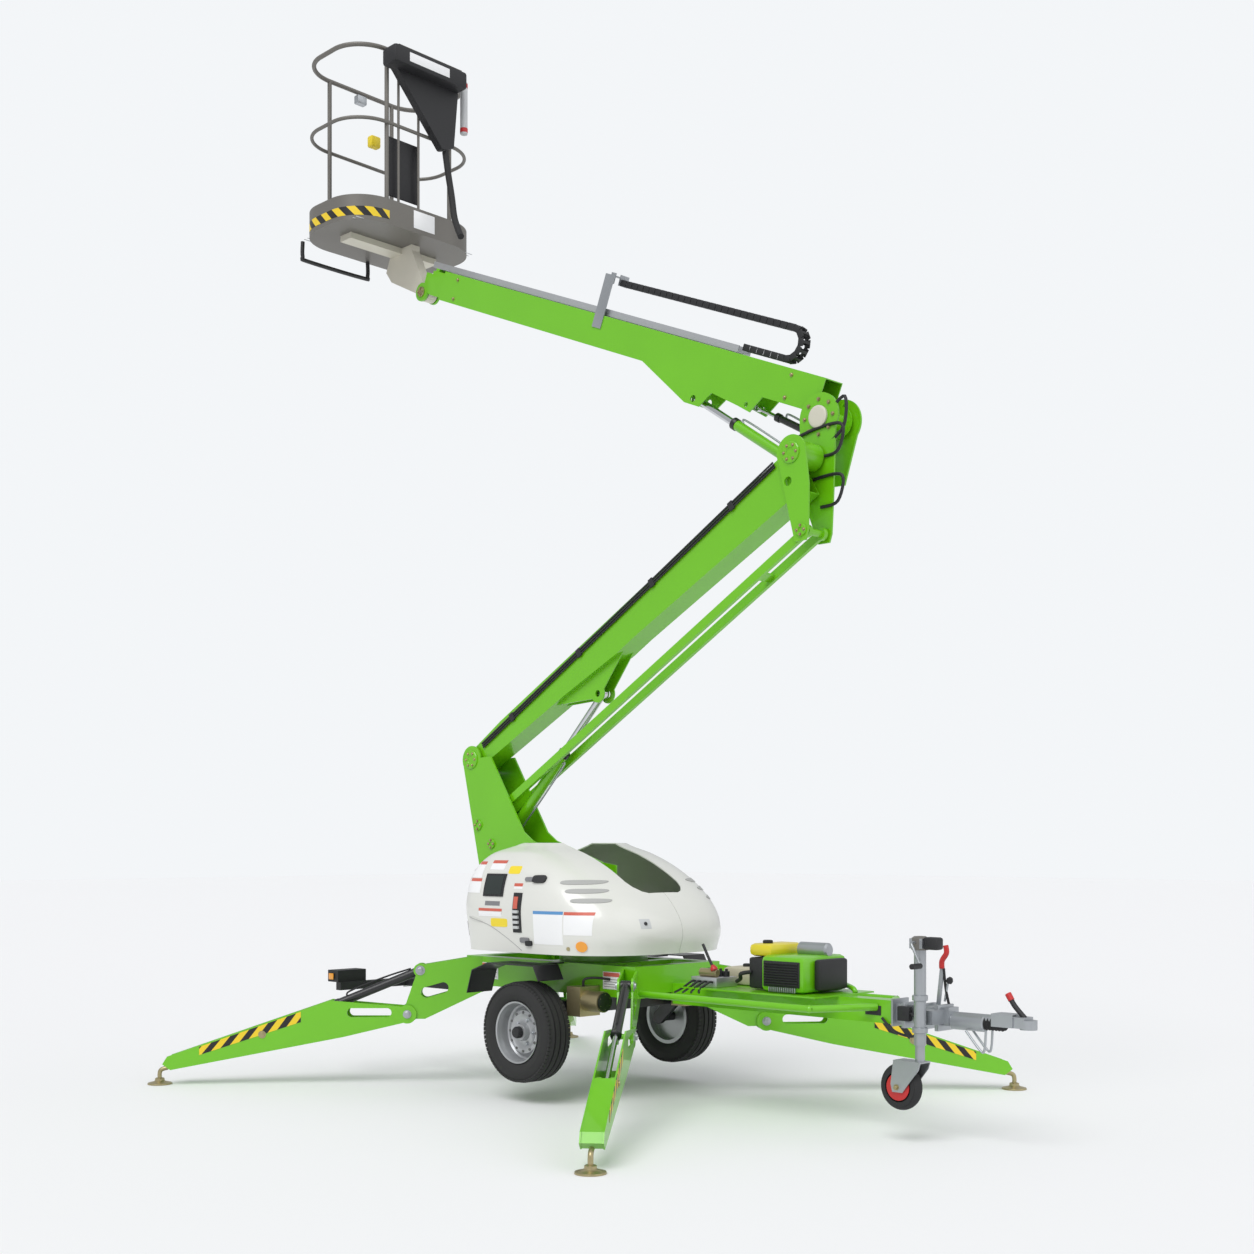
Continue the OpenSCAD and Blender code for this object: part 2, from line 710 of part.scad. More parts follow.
module knuckle() {
    color(green) difference() {
        union() {
            // outer plate of the lower boom
            side(-boom_pitch, plate_t) difference() {
                union() {
                    translate(C) circle(r = 95);
                    polygon([C + [-95, 0], C + [95, 0], C + [118, -180], D + [45, 0],
                        D + [30, -55], D + [-45, -55], D + [-75, 60]]);
                }
                translate(C + [-20, -150]) circle(d = 50);
            }
            // middle plate, shared by both booms
            side(0, plate_t) union() {
                translate(C) circle(r = 95);
                translate(F) circle(r = 130);
                polygon([C + [-95, 0], F + [-130, 0], F + [110, -60], C + [128, -180],
                    D + [45, 0], D + [30, -45], D + [-45, -45], lift_base + [-50, -40],
                    lift_base + [-60, 0]]);
            }
            // far plate, outside the upper boom
            side(boom_pitch, plate_t) union() {
                translate(F) circle(r = 130);
                polygon([F + [-130, 0], F + [110, -60], lift_base + [110, -50],
                    lift_base + [-40, -45], lift_base + [-55, 0]]);
            }
            cross_pin(D, pin_d, lower_y, boom_pitch);
            cross_pin(C, 90, lower_y, boom_pitch);
            cross_pin(lift_base, eye_pin_d, upper_y, boom_pitch);
            cross_pin(level_base, eye_pin_d, level_y + boom_pitch / 10, boom_pitch * 0.42);
            cross_pin(F, 89.8, upper_y, boom_pitch);
        }
        cross_pin(F, 70, upper_y, boom_pitch + plate_t + 2);
    }
}

// ---------- upper boom ----------

module tube(s0, s1, n0, n1, y, w, t) {
    difference() {
        translate([s0, y - w / 2, n0]) cube([s1 - s0, w, n1 - n0]);
        translate([s0 - 1, y - w / 2 + t, n0 + t]) cube([s1 - s0 + 2, w - 2 * t, n1 - n0 - 2 * t]);
    }
}

module upper_boom() {
    under = upper_top - upper_h + boom_wall / 2;   // inside the tube's lower wall
    color(green) on_upper() {
        tube(60, upper_len, upper_top - upper_h, upper_top, upper_y, upper_w, boom_wall);
        for (y = [-1, 1]) side(upper_y + y * (upper_w / 2 - 4), 8) difference() {
            union() {
                polygon([[460, under], [1480, under], [lift_s + 60, lift_n - 35],
                    [lift_s - 60, lift_n - 35], [lift_s - 130, lift_n + 60],
                    [level_s + 60, level_n - 20], [level_s - 40, level_n - 35]]);
                polygon([[10, -50], [60, -50], [100, 0], [160, 20], [160, 120], [10, 120]]);
                circle(r = 88);
            }
            circle(d = 90);
            translate([lift_s, lift_n]) circle(d = pin_d);
            translate([level_s, level_n]) circle(d = 28);
        }
    }
}

lift_xz = upper_at(lift_s, lift_n);
level_xz = upper_at(level_s, level_n);
module upper_barrel() {
    color(green) barrel(lift_base, lift_xz, 700, lift_barrel_d - 6, 80, lift_barrel_d - 6, lift_y, lift_rod_d - 4);
}

module upper_rod() {
    color(silver) rod(lift_base, lift_xz, norm(lift_xz - lift_base) - 640, lift_rod_d - 4, 60, 50, lift_y);
}

module level_barrel() {
    color(black) barrel(level_base, level_xz, 330, 40, 56, 40, level_y, 22);
}

module level_rod() {
    color(silver) rod(level_base, level_xz, norm(level_xz - level_base) - 290, 22, 40, 36, level_y);
}

// energy chain: s positions along the boom, n heights over its pivot
chain_w = 70;
chain_t = 40;
chain_low_n = upper_top + 42;
chain_r = 85;
chain_up_n = chain_low_n + 2 * chain_r;
bend_s = 430;
chain_end_s = 1880;
tray_s = 760;

module chain_bracket() {
    color(silver) on_upper() {
        y0 = upper_y - upper_w / 2 - 6;
        translate([chain_end_s + 20, y0, upper_top - 80]) cube([80, 6, 80 + chain_up_n - upper_top + 30]);
        translate([chain_end_s + 20, y0, chain_up_n + 24]) cube([80, upper_w / 2 + 6 + chain_w / 2, 6]);
        translate([chain_end_s + 10, upper_y - chain_w / 2, chain_up_n - chain_t / 2])
            cube([8, chain_w, chain_t + 24]);
        translate([chain_end_s + 10, y0, chain_up_n - chain_t / 2]) cube([40, 6, chain_t + 24]);
        translate([chain_end_s + 10, y0 , chain_up_n + 24]) cube([20, upper_w / 2 + 6 + chain_w / 2, 6]);
    }
}

module chain_upper() {
    color(black) on_upper() translate([bend_s, upper_y - chain_w / 2, chain_up_n - chain_t / 2])
        cube([chain_end_s + 10 - bend_s, chain_w, chain_t]);
}

module chain_lower() {
    color(black) on_upper() translate([bend_s, upper_y - chain_w / 2, chain_low_n - chain_t / 2])
        cube([tray_s - bend_s, chain_w, chain_t]);
}

module chain_bend() {
    color(black) on_upper() translate([bend_s - 0.3, upper_y, chain_low_n + chain_r]) rotate([90, 0, 0])
        rotate([0, 0, 90]) rotate_extrude(angle = 180)
            translate([chain_r - chain_t / 2, -chain_w / 2]) square([chain_t, chain_w]);
}

module chain_tray() {
    w = 110;
    color(silver) on_upper() difference() {
        translate([tray_s, upper_y - w / 2, upper_top + 4]) cube([nose_s - tray_s - 60, w, 40]);
        translate([tray_s - 1, upper_y - w / 2 + 4, upper_top + 8]) cube([nose_s - tray_s - 62, w - 8, 50]);
    }
}

module inner_boom() {
    w = upper_w - 2 * boom_wall - 2 * slide_gap;
    h = upper_h - 2 * boom_wall - 2 * slide_gap;
    n0 = upper_top - upper_h + boom_wall + slide_gap;
    color(green) {
        on_upper() {
            tube(200, nose_s - 100, n0, n0 + h, upper_y, w, boom_wall);
            // closed end, and the stand that holds the tray
            translate([nose_s - 130, upper_y - w / 2 + 2, n0 + 2]) cube([50, w - 4, h - 4]);
            translate([nose_s - 140, upper_y - w / 2 + 4, n0 + h - 4])
                cube([36, w - 8, upper_top + 8 - n0 - h]);
            for (e = [-1, 1]) side(upper_y + e * (w - 20) / 2, 16) {
                translate([nose_s - 120, n0 + 6]) square([110, h - 30]);
                translate([nose_s, nose_n]) circle(r = 62);
            }
        }
        cross_pin(G, pin_d, upper_y, w - 20);
    }
}

// ---------- cage ----------

module cage_mount() {
    w = 70;
    color(cream) difference() {
        side(upper_y, w) union() {
            translate(G) circle(r = 58);
            polygon([G + [-58, 0], G + [0, 58], [cage_x + 170, cage_z - 40],
                [cage_x + 170, cage_z], [cage_x - 60, cage_z], [cage_x - 120, cage_z - 130],
                [cage_x - 60, cage_z - 210]]);
        }
        cross_pin(G, pin_d + 0.2, upper_y, w + 2);
    }
    // cross beam under the cage floor
    color(grey) translate([cage_x - 60, -cage_w / 2 + 180, cage_z - 40])
        cube([120, cage_w - 360, 40]);
}

module cage_floor() {
    color(grey) translate([cage_x, 0, cage_z]) difference() {
        linear_extrude(toe_h) rounded_plan(cage_l, cage_w, cage_r);
        translate([0, 0, 5]) linear_extrude(toe_h) rounded_plan(cage_l - 6, cage_w - 6, cage_r - 3);
    }
}

module ring(l, w, r, d) {
    for (s = [-1, 1]) {
        bar([-l / 2 + r, s * w / 2, 0], [l / 2 - r, s * w / 2, 0], d);
        bar([s * l / 2, -w / 2 + r, 0], [s * l / 2, w / 2 - r, 0], d);
    }
    for (x = [0, 1], y = [0, 1])
        translate([(x * 2 - 1) * (l / 2 - r), (y * 2 - 1) * (w / 2 - r), 0])
            bend(r, x == 1 ? (y == 1 ? 0 : 270) : (y == 1 ? 90 : 180), 90, d);
}

post_in = 16;
module cage_rails() {
    l = cage_l - 2 * post_in - rail_d;
    w = cage_w - 2 * post_in - rail_d;
    r = cage_r - post_in - rail_d / 2;
    color(grey) translate([cage_x, 0, cage_z + 5]) {
        translate([0, 0, rail_top]) ring(l, w, r, rail_d);
        translate([0, 0, rail_top * 0.58]) ring(l + 30, w + 30, r + 15, rail_d - 6);
        for (x = [-1, 1], y = [-1, 1])
            translate([x * l / 2, y * (w / 2 - r), 0]) cylinder(h = rail_top, d = rail_d);
    }
}

module control_console() {
    color(black) translate([cage_x + cage_l / 2 + 8, 0, cage_z]) {
        translate([0, -340, rail_top - 150]) cube([150, 620, 120]);
        rotate([90, 0, 90]) linear_extrude(60) polygon([[-270, rail_top - 140],
            [270, rail_top - 140], [230, 640], [130, 600]]);
    }
}

hose_d = 44;
hose_path = [[0, 178, 604], [35, 176, 440], [80, 170, 270], [130, 150, 120], [190, 130, 20],
    [250, 110, -60]];
// a smooth tube through a list of points, with flat ends
function smooth(p, i, t) = let (
        a = p[max(i - 1, 0)], b = p[i], c = p[i + 1], d = p[min(i + 2, len(p) - 1)])
    0.5 * (2 * b + (c - a) * t + (2 * a - 5 * b + 4 * c - d) * t * t
        + (3 * b - a - 3 * c + d) * t * t * t);
function route(p, n) = [for (i = [0:len(p) - 2], k = [0:n - 1]) smooth(p, i, k / n), p[len(p) - 1]];

module hose(points, d, sides = 10) {
    p = route(points, 4);
    n = len(p);
    rings = [for (i = [0:n - 1]) let (
            v = p[min(i + 1, n - 1)] - p[max(i - 1, 0)],
            t = v / norm(v),
            u = cross(t, [0, 1, 0]) / norm(cross(t, [0, 1, 0])),
            w = cross(t, u))
        for (k = [0:sides - 1]) p[i] + d / 2 * (cos(360 * k / sides) * u + sin(360 * k / sides) * w)];
    polyhedron(rings, concat(
        [[for (k = [sides - 1:-1:0]) k]],
        [for (i = [0:n - 2], k = [0:sides - 1]) [i * sides + k, i * sides + (k + 1) % sides,
            (i + 1) * sides + (k + 1) % sides, (i + 1) * sides + k]],
        [[for (k = [0:sides - 1]) (n - 1) * sides + k]]));
}

module console_hose() {
    color(black) translate([cage_x + cage_l / 2 + 40, 0, cage_z]) hose(hose_path, hose_d);
}

chassis_frame();
axle();
drawbar();
coupling_head();
hitch_levers();
jockey_tube();
jockey_fork();
jockey_wheel();
engine();
hydraulic_unit();
rear_lights();
traction_drives();
tyre(-1);  // tyre_right
tyre(1);  // tyre_left
rim(-1);  // rim_right
rim(1);  // rim_left
for (i = [0:3]) {
    leg(i);
    foot(i);
    leg_barrel(i);
    leg_rod(i);
}
turntable();
post();
power_pack();
canopy(-1);  // canopy_right
canopy(1);  // canopy_left
lower_boom();
lower_barrel();
lower_rod();
tie_bars();
knuckle();
upper_boom();
upper_barrel();
upper_rod();
level_barrel();
level_rod();
chain_bracket();
chain_upper();
chain_bend();
chain_lower();
chain_tray();
inner_boom();
cage_mount();
cage_floor();
cage_rails();
control_console();
console_hose();
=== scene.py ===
# %% [markdown]
# # Trailer boom lift
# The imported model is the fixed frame. This lesson dresses it: first the finishes, then the
# pieces that need soft or fine shapes, then the studio and the camera.
# Everything is placed from the frame itself, in metres: +X to the tow hitch, +Z up.

# %% Load the frame
import json
import math
import bmesh
import bpy
from mathutils import Matrix, Vector
from mathutils.bvhtree import BVHTree


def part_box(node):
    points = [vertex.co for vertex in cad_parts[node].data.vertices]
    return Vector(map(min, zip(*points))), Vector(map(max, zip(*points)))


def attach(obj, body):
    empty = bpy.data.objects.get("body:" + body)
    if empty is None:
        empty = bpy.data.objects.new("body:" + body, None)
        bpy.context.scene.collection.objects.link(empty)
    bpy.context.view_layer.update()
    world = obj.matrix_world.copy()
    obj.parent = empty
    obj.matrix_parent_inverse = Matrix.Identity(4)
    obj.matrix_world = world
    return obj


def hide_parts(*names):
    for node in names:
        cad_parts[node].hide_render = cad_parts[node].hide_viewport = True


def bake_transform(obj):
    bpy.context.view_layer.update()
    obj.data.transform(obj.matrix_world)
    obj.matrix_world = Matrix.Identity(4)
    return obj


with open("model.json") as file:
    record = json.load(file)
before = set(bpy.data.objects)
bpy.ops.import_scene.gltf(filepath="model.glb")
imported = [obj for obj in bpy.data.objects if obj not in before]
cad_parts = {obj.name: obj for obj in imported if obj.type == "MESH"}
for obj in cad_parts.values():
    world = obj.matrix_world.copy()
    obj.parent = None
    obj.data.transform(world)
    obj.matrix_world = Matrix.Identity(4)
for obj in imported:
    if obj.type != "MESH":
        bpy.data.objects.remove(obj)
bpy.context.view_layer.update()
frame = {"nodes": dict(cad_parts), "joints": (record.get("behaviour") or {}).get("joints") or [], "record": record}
nodes = frame["nodes"]
joints = {j["name"]: j for j in frame["joints"]}

# %% [markdown]
# ## Finishes
# Each finish is a small node tree on the Principled shader. Colours read Object coordinates, so
# they stay on the piece when it moves. The constants sit on the shader's own sockets.

# %% Material helpers
def wire(tree, *links):
    """Joins node sockets; each link is (from node, its output, to node, its input)."""
    for source, output, target, into in links:
        tree.links.new(source.outputs[output], target.inputs[into])


def new_material(name, rough):
    """A material with its node tree and its shader."""
    material = bpy.data.materials.new(name)
    material.use_nodes = True
    shader = material.node_tree.nodes["Principled BSDF"]
    shader.inputs["Roughness"].default_value = rough
    return material, material.node_tree, shader


def finish(name, colour, rough, metal=0.0, coat=0.0, grain=0.0, grain_size=60.0, mottle=0.06):
    """A painted or bare surface: its colour drifts a little, and its bump is a fine grain."""
    material, tree, shader = new_material(name, rough)
    shader.inputs["Metallic"].default_value = metal
    shader.inputs["Coat Weight"].default_value = coat
    place = tree.nodes.new("ShaderNodeTexCoord")
    cloud = tree.nodes.new("ShaderNodeTexNoise")
    cloud.inputs["Scale"].default_value = 3.0
    cloud.inputs["Detail"].default_value = 4.0
    ramp = tree.nodes.new("ShaderNodeValToRGB")
    ramp.color_ramp.elements[0].color = (*[c * (1 - mottle) for c in colour], 1)
    ramp.color_ramp.elements[1].color = (*[min(1, c * (1 + mottle)) for c in colour], 1)
    wire(tree, (place, "Object", cloud, "Vector"), (cloud, "Fac", ramp, "Fac"),
         (ramp, "Color", shader, "Base Color"))
    if grain:
        fine = tree.nodes.new("ShaderNodeTexNoise")
        fine.inputs["Scale"].default_value = grain_size
        bump = tree.nodes.new("ShaderNodeBump")
        bump.inputs["Strength"].default_value = grain
        bump.inputs["Distance"].default_value = 0.002
        wire(tree, (place, "Object", fine, "Vector"), (fine, "Fac", bump, "Height"),
             (bump, "Normal", shader, "Normal"))
    return material


# %% The finishes
green_paint = finish("green_paint", (0.15, 0.50, 0.004), 0.32, coat=0.4, grain=0.06, grain_size=260)
black_paint = finish("black_paint", (0.012, 0.012, 0.014), 0.42, coat=0.2, grain=0.05, grain_size=200)
black_plastic = finish("black_plastic", (0.015, 0.015, 0.017), 0.55, grain=0.25, grain_size=420)
rubber = finish("rubber", (0.018, 0.018, 0.019), 0.75, grain=0.2, grain_size=300)
tyre_rubber = finish("tyre_rubber", (0.022, 0.022, 0.022), 0.82, grain=0.3, grain_size=240)
rim_paint = finish("rim_paint", (0.42, 0.43, 0.44), 0.35, metal=0.6, grain=0.05, grain_size=150)
grey_paint = finish("cage_grey", (0.17, 0.16, 0.145), 0.45, metal=0.25, grain=0.08, grain_size=220)
cream_paint = finish("cream_paint", (0.62, 0.59, 0.5), 0.45, grain=0.1, grain_size=90, mottle=0.1)
shell_white = finish("shell_white", (0.70, 0.70, 0.66), 0.3, coat=0.5, grain=0.05, grain_size=30, mottle=0.02)
galvanised = finish("galvanised", (0.42, 0.44, 0.46), 0.4, metal=0.85, grain=0.15, grain_size=60, mottle=0.22)
zinc = finish("yellow_zinc", (0.42, 0.36, 0.2), 0.35, metal=0.85, grain=0.1, grain_size=80, mottle=0.2)
chrome = finish("chrome", (0.62, 0.63, 0.65), 0.12, metal=1.0)
aluminium = finish("aluminium", (0.55, 0.56, 0.58), 0.38, metal=0.8, grain=0.1, grain_size=120)
tank_yellow = finish("tank_yellow", (0.72, 0.6, 0.02), 0.35, coat=0.3)
red_plastic = finish("red_plastic", (0.5, 0.02, 0.02), 0.4)
amber = finish("amber_reflector", (0.85, 0.33, 0.02), 0.2, coat=0.6)
label_white = finish("label_white", (0.85, 0.85, 0.86), 0.4)
label_red = finish("label_red", (0.6, 0.12, 0.08), 0.4)
label_blue = finish("label_blue", (0.1, 0.28, 0.55), 0.4)
label_yellow = finish("label_yellow", (0.85, 0.66, 0.03), 0.4)
# painted shade: a dark grey put in the rim's holes and the canopy's grab slot, where only shade is
shadow_grey = finish("recess_grey", (0.12, 0.12, 0.12), 0.7)
beige_tank = finish("beige_tank", (0.5, 0.46, 0.34), 0.5)
label_grey = finish("label_grey", (0.55, 0.56, 0.57), 0.45)
recess_grey = finish("legend_grey", (0.2, 0.2, 0.21), 0.5)
# dark grey for the panel seams (real dark joints), and painted shade in the canopy's louvre slots
seam_and_louvre_shade_grey = finish("seam_and_louvre_shade_grey", (0.40, 0.40, 0.39), 0.6)
screen_glass = finish("screen_glass", (0.004, 0.012, 0.01), 0.1, coat=0.5)

by_slot = {
    "green_paint": green_paint, "black_paint": black_paint, "grey_paint": grey_paint,
    "cream_paint": cream_paint, "white_grp": shell_white, "galvanised": galvanised,
    "zinc": zinc, "chrome_rod": chrome, "aluminium": aluminium, "tyre": tyre_rubber,
    "rim": rim_paint, "black_plastic": black_plastic, "hose": rubber, "jockey_rubber": rubber,
}
for part in frame["record"]["subparts"]:
    mesh = nodes[part["node"]].data
    mesh.materials.clear()
    mesh.materials.append(by_slot[part["material_slot"]])
print("finishes", len(bpy.data.materials))

# %% [markdown]
# ## Small shapes
# Most fittings are one of four shapes: a block with rounded edges, a turned piece, a bent tube or
# a thin label. Each helper returns one finished mesh that rides on a named body.

# %% Shape helpers
SHARP = math.radians(38)  # edges that turn more than this stay crisp


def in_scene(name, data):
    """A new object, linked into the scene."""
    thing = bpy.data.objects.new(name, data)
    bpy.context.scene.collection.objects.link(thing)
    return thing


def mesh_from(name, bm):
    """Keeps a bmesh as a mesh, and frees it."""
    mesh = bpy.data.meshes.new(name)
    bm.to_mesh(mesh)
    bm.free()
    return mesh


def smooth_piece(name, bm, material):
    """An object with one finish and smooth faces."""
    mesh = mesh_from(name, bm)
    for face in mesh.polygons:
        face.use_smooth = True
    mesh.materials.append(material)
    return in_scene(name, mesh)


def baked(thing):
    """The mesh that an object's modifier makes. The modifier is taken off."""
    bpy.context.view_layer.update()
    mesh = bpy.data.meshes.new_from_object(thing.evaluated_get(bpy.context.evaluated_depsgraph_get()))
    thing.modifiers.clear()
    return mesh


def piece(name, bm, material, body):
    """Turns a bmesh into an object with one finish, and lets it ride on a body."""
    bmesh.ops.recalc_face_normals(bm, faces=bm.faces)
    thing = smooth_piece(name, bm, material)
    thing.data.set_sharp_from_angle(angle=SHARP)
    if body:
        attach(thing, body)
    return thing


def skin(bm, rows, closed=False):
    """Joins rings of vertices with faces; closed also joins the last ring to the first."""
    steps = len(rows[0])
    for below, above in zip(rows, rows[1:] + rows[:1] if closed else rows[1:]):
        for k in range(steps):
            bm.faces.new((below[k], below[(k + 1) % steps], above[(k + 1) % steps], above[k]))


def add_block(bm, low, high, bevel=0.004, turn=None, about=None):
    """Adds a block with rounded edges; turn is a rotation matrix about a point."""
    low, high = Vector(low), Vector(high)
    made = bmesh.ops.create_cube(bm, size=1.0)
    size = high - low
    bmesh.ops.scale(bm, vec=size, verts=made["verts"])
    bmesh.ops.translate(bm, vec=(low + high) / 2, verts=made["verts"])
    verts = list(made["verts"])
    if bevel:
        edges = list({e for v in verts for e in v.link_edges})
        cut = bmesh.ops.bevel(bm, geom=edges, offset=min(bevel, min(size) * 0.45), segments=2,
                              affect="EDGES", profile=0.5)
        verts = list({v for f in cut["faces"] for v in f.verts} | {v for v in verts if v.is_valid})
    if turn is not None:
        centre = Vector(about) if about is not None else (low + high) / 2
        bmesh.ops.rotate(bm, cent=centre, matrix=turn, verts=verts)
    return verts


def add_turned(bm, profile, place, axis, steps=32, closed=False):
    """Adds a turned piece: profile is [(radius, height)], spun about an axis. closed joins its ends."""
    rows = []
    spin = Vector((0, 0, 1)).rotation_difference(Vector(axis).normalized()).to_matrix()
    for radius, height in profile:
        row = []
        for k in range(steps):
            a = 2 * math.pi * k / steps
            v = spin @ Vector((radius * math.cos(a), radius * math.sin(a), height)) + Vector(place)
            row.append(bm.verts.new(v))
        rows.append(row)
    skin(bm, rows, closed)
    if closed:
        return
    if profile[0][0] > 0:
        bm.faces.new(rows[0][::-1])
    if profile[-1][0] > 0:
        bm.faces.new(rows[-1])


def smooth_path(points, rounds):
    """A smooth curve through the points, as a finer list of points."""
    path = []
    points = [Vector(p) for p in points]
    last = len(points) - 1
    for i in range(last):
        a, b = points[max(i - 1, 0)], points[i]
        c, d = points[i + 1], points[min(i + 2, last)]
        for k in range(rounds):
            t = k / rounds
            path.append(0.5 * (2 * b + (c - a) * t + (2 * a - 5 * b + 4 * c - d) * t * t
                               + (3 * b - a - 3 * c + d) * t ** 3))
    return path + [points[-1]]


def add_tube(bm, points, radius, sides=12, rounds=6):
    """Adds a tube along a smooth curve through the points."""
    path = smooth_path(points, rounds)
    rows = []
    side = None
    for i, p in enumerate(path):
        along = (path[min(i + 1, len(path) - 1)] - path[max(i - 1, 0)]).normalized()
        if side is None:
            side = along.orthogonal().normalized()
        side = (side - along * side.dot(along)).normalized()
        up = along.cross(side)
        rows.append([bm.verts.new(p + radius * (math.cos(a) * side + math.sin(a) * up))
                     for a in [2 * math.pi * k / sides for k in range(sides)]])
    skin(bm, rows)
    bm.faces.new(rows[0][::-1])
    bm.faces.new(rows[-1])


def block(name, low, high, material, body, bevel=0.004, turn=None, about=None):
    bm = bmesh.new()
    add_block(bm, low, high, bevel, turn, about)
    return piece(name, bm, material, body)


def turned(name, profile, place, axis, material, body, steps=32, closed=False):
    bm = bmesh.new()
    add_turned(bm, profile, place, axis, steps, closed)
    return piece(name, bm, material, body)


def tube(name, points, radius, material, body, sides=12, rounds=6):
    bm = bmesh.new()
    add_tube(bm, points, radius, sides, rounds)
    return piece(name, bm, material, body)


# %% [markdown]
# ## Where the joints are
# The frame's joints give every pivot, so no position is copied by hand. The booms get their own
# axes: along, and square to it.

# %% Pivots and boom axes
def pivot(name):
    return Vector(joints[name]["pos_m"])


boom_foot = pivot("lower_boom_lift")
boom_head = pivot("knuckle_level")
lower_dir = (boom_head - boom_foot).normalized()
lower_up = Vector((-lower_dir.z, 0, lower_dir.x))
upper_foot = pivot("upper_boom_lift")
upper_dir = -Vector(joints["telescope"]["axis"])
upper_dir = upper_dir if upper_dir.x < 0 else -upper_dir
upper_up = Vector((upper_dir.z, 0, -upper_dir.x))
upper_turn = Matrix((upper_dir, (0, 1, 0), upper_up)).transposed()
lower_turn = Matrix((lower_dir, (0, 1, 0), lower_up)).transposed()


def on_lower(s, y, n):
    return boom_foot + lower_dir * s + lower_up * n + Vector((0, y - boom_foot.y, 0))


def on_upper(s, y, n):
    return upper_foot + upper_dir * s + upper_up * n + Vector((0, y - upper_foot.y, 0))


print("lower boom length", round((boom_head - boom_foot).length, 3), "m")
# %% [markdown]
# ## Console hose
# One sleeved hose leaves the console's lower edge, hangs down the cage's front and goes back into
# the boom's nose. Its route has the same points as the part's source. It is one fixed piece on no body.

# %% Console hose
hose_top = pivot("cage_level") + Vector((0.09, -0.1, 0.37))
hose_points = [hose_top + Vector(p) for p in (
    (0, 0.178, 0.604), (0.035, 0.176, 0.44), (0.08, 0.17, 0.27), (0.13, 0.15, 0.12), (0.19, 0.13, 0.02),
    (0.25, 0.11, -0.06))]
hose_route = smooth_path(hose_points, 6)
hose_length = sum((b - a).length for a, b in zip(hose_route, hose_route[1:]))
bm = bmesh.new()
add_tube(bm, hose_points, 0.022, sides=16, rounds=6)
console_hose = piece("console_hose_sleeve", bm, rubber, None)
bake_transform(console_hose)
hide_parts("console_hose")
print("hose length", round(hose_length, 3))
# %% [markdown]
# ## Repeated things
# Bolts, tread lugs and chain links are one small shape put on many points. A Geometry Nodes group
# does it, with named inputs, and the result is kept as a plain mesh.

# %% Repeat group
def repeat_group():
    """A group that repeats an object in a row or round a ring, and gives it one finish."""
    group = bpy.data.node_groups.new("repeat_shape", "GeometryNodeTree")
    sockets = {}
    for label, kind, way in (("Shape", "NodeSocketObject", "INPUT"), ("Count", "NodeSocketInt", "INPUT"),
                             ("Radius", "NodeSocketFloat", "INPUT"), ("Step", "NodeSocketVector", "INPUT"),
                             ("Turn", "NodeSocketFloat", "INPUT"), ("Finish", "NodeSocketMaterial", "INPUT"),
                             ("Geometry", "NodeSocketGeometry", "OUTPUT")):
        sockets[label] = group.interface.new_socket(label, in_out=way, socket_type=kind).identifier
    new = group.nodes.new
    source, sink = new("NodeGroupInput"), new("NodeGroupOutput")
    line, index, angle = new("GeometryNodeMeshLine"), new("GeometryNodeInputIndex"), new("ShaderNodeMath")
    angle.operation = "MULTIPLY"
    spin, push = new("ShaderNodeCombineXYZ"), new("ShaderNodeCombineXYZ")
    reach, shift = new("ShaderNodeVectorRotate"), new("GeometryNodeSetPosition")
    reach.rotation_type = "Z_AXIS"
    pick, place = new("GeometryNodeObjectInfo"), new("GeometryNodeInstanceOnPoints")
    real, paint = new("GeometryNodeRealizeInstances"), new("GeometryNodeSetMaterial")
    wire(group, (source, "Count", line, "Count"), (source, "Step", line, "Offset"), (index, 0, angle, 0),
         (source, "Turn", angle, 1), (angle, 0, spin, "Z"), (source, "Radius", push, "X"),
         (push, 0, reach, "Vector"), (angle, 0, reach, "Angle"), (line, "Mesh", shift, "Geometry"),
         (reach, 0, shift, "Offset"), (source, "Shape", pick, "Object"),
         (shift, "Geometry", place, "Points"), (pick, "Geometry", place, "Instance"),
         (spin, 0, place, "Rotation"), (place, "Instances", real, "Geometry"),
         (real, "Geometry", paint, "Geometry"), (source, "Finish", paint, "Material"),
         (paint, "Geometry", sink, "Geometry"))
    return group, sockets


repeat, repeat_sockets = repeat_group()


def repeated(name, shape, count, material, body, frame_matrix, radius=0.0, step=(0, 0, 0), turn=0.0):
    """count copies of a bmesh shape: in a row by step, or round a ring by turn. body None leaves it free."""
    bmesh.ops.recalc_face_normals(shape, faces=shape.faces)
    small = mesh_from(name + "_one", shape)
    thing = in_scene(name, bpy.data.meshes.new(name))
    holder = in_scene(name + "_one", small)
    mod = thing.modifiers.new("repeat", "NODES")
    mod.node_group = repeat
    for label, value in (("Shape", holder), ("Count", count), ("Radius", radius), ("Step", step),
                         ("Turn", turn), ("Finish", material)):
        mod[repeat_sockets[label]] = value
    mesh = baked(thing)
    mesh.transform(frame_matrix)
    if frame_matrix.determinant() < 0:
        mesh.flip_normals()
    mesh.name = name
    thing.data = mesh
    mesh.set_sharp_from_angle(angle=SHARP)
    bpy.data.objects.remove(holder)
    if body:
        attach(thing, body)
    return thing


def facing(place, axis):
    """A matrix that puts +Z along an axis, at a place."""
    turn = Vector((0, 0, 1)).rotation_difference(Vector(axis).normalized())
    return Matrix.Translation(Vector(place)) @ turn.to_matrix().to_4x4()


def bolt(radius, height):
    bm = bmesh.new()
    add_turned(bm, [(radius * 1.5, 0), (radius * 1.5, height * 0.25), (radius, height * 0.25),
                    (radius, height * 0.9), (radius * 0.85, height)], (0, 0, 0), (0, 0, 1), steps=6)
    return bm


def bolt_ring(name, place, axis, radius, count, size, material, body):
    return repeated(name, bolt(size, size * 1.3), count, material, body, facing(place, axis),
                    radius=radius, turn=2 * math.pi / count)


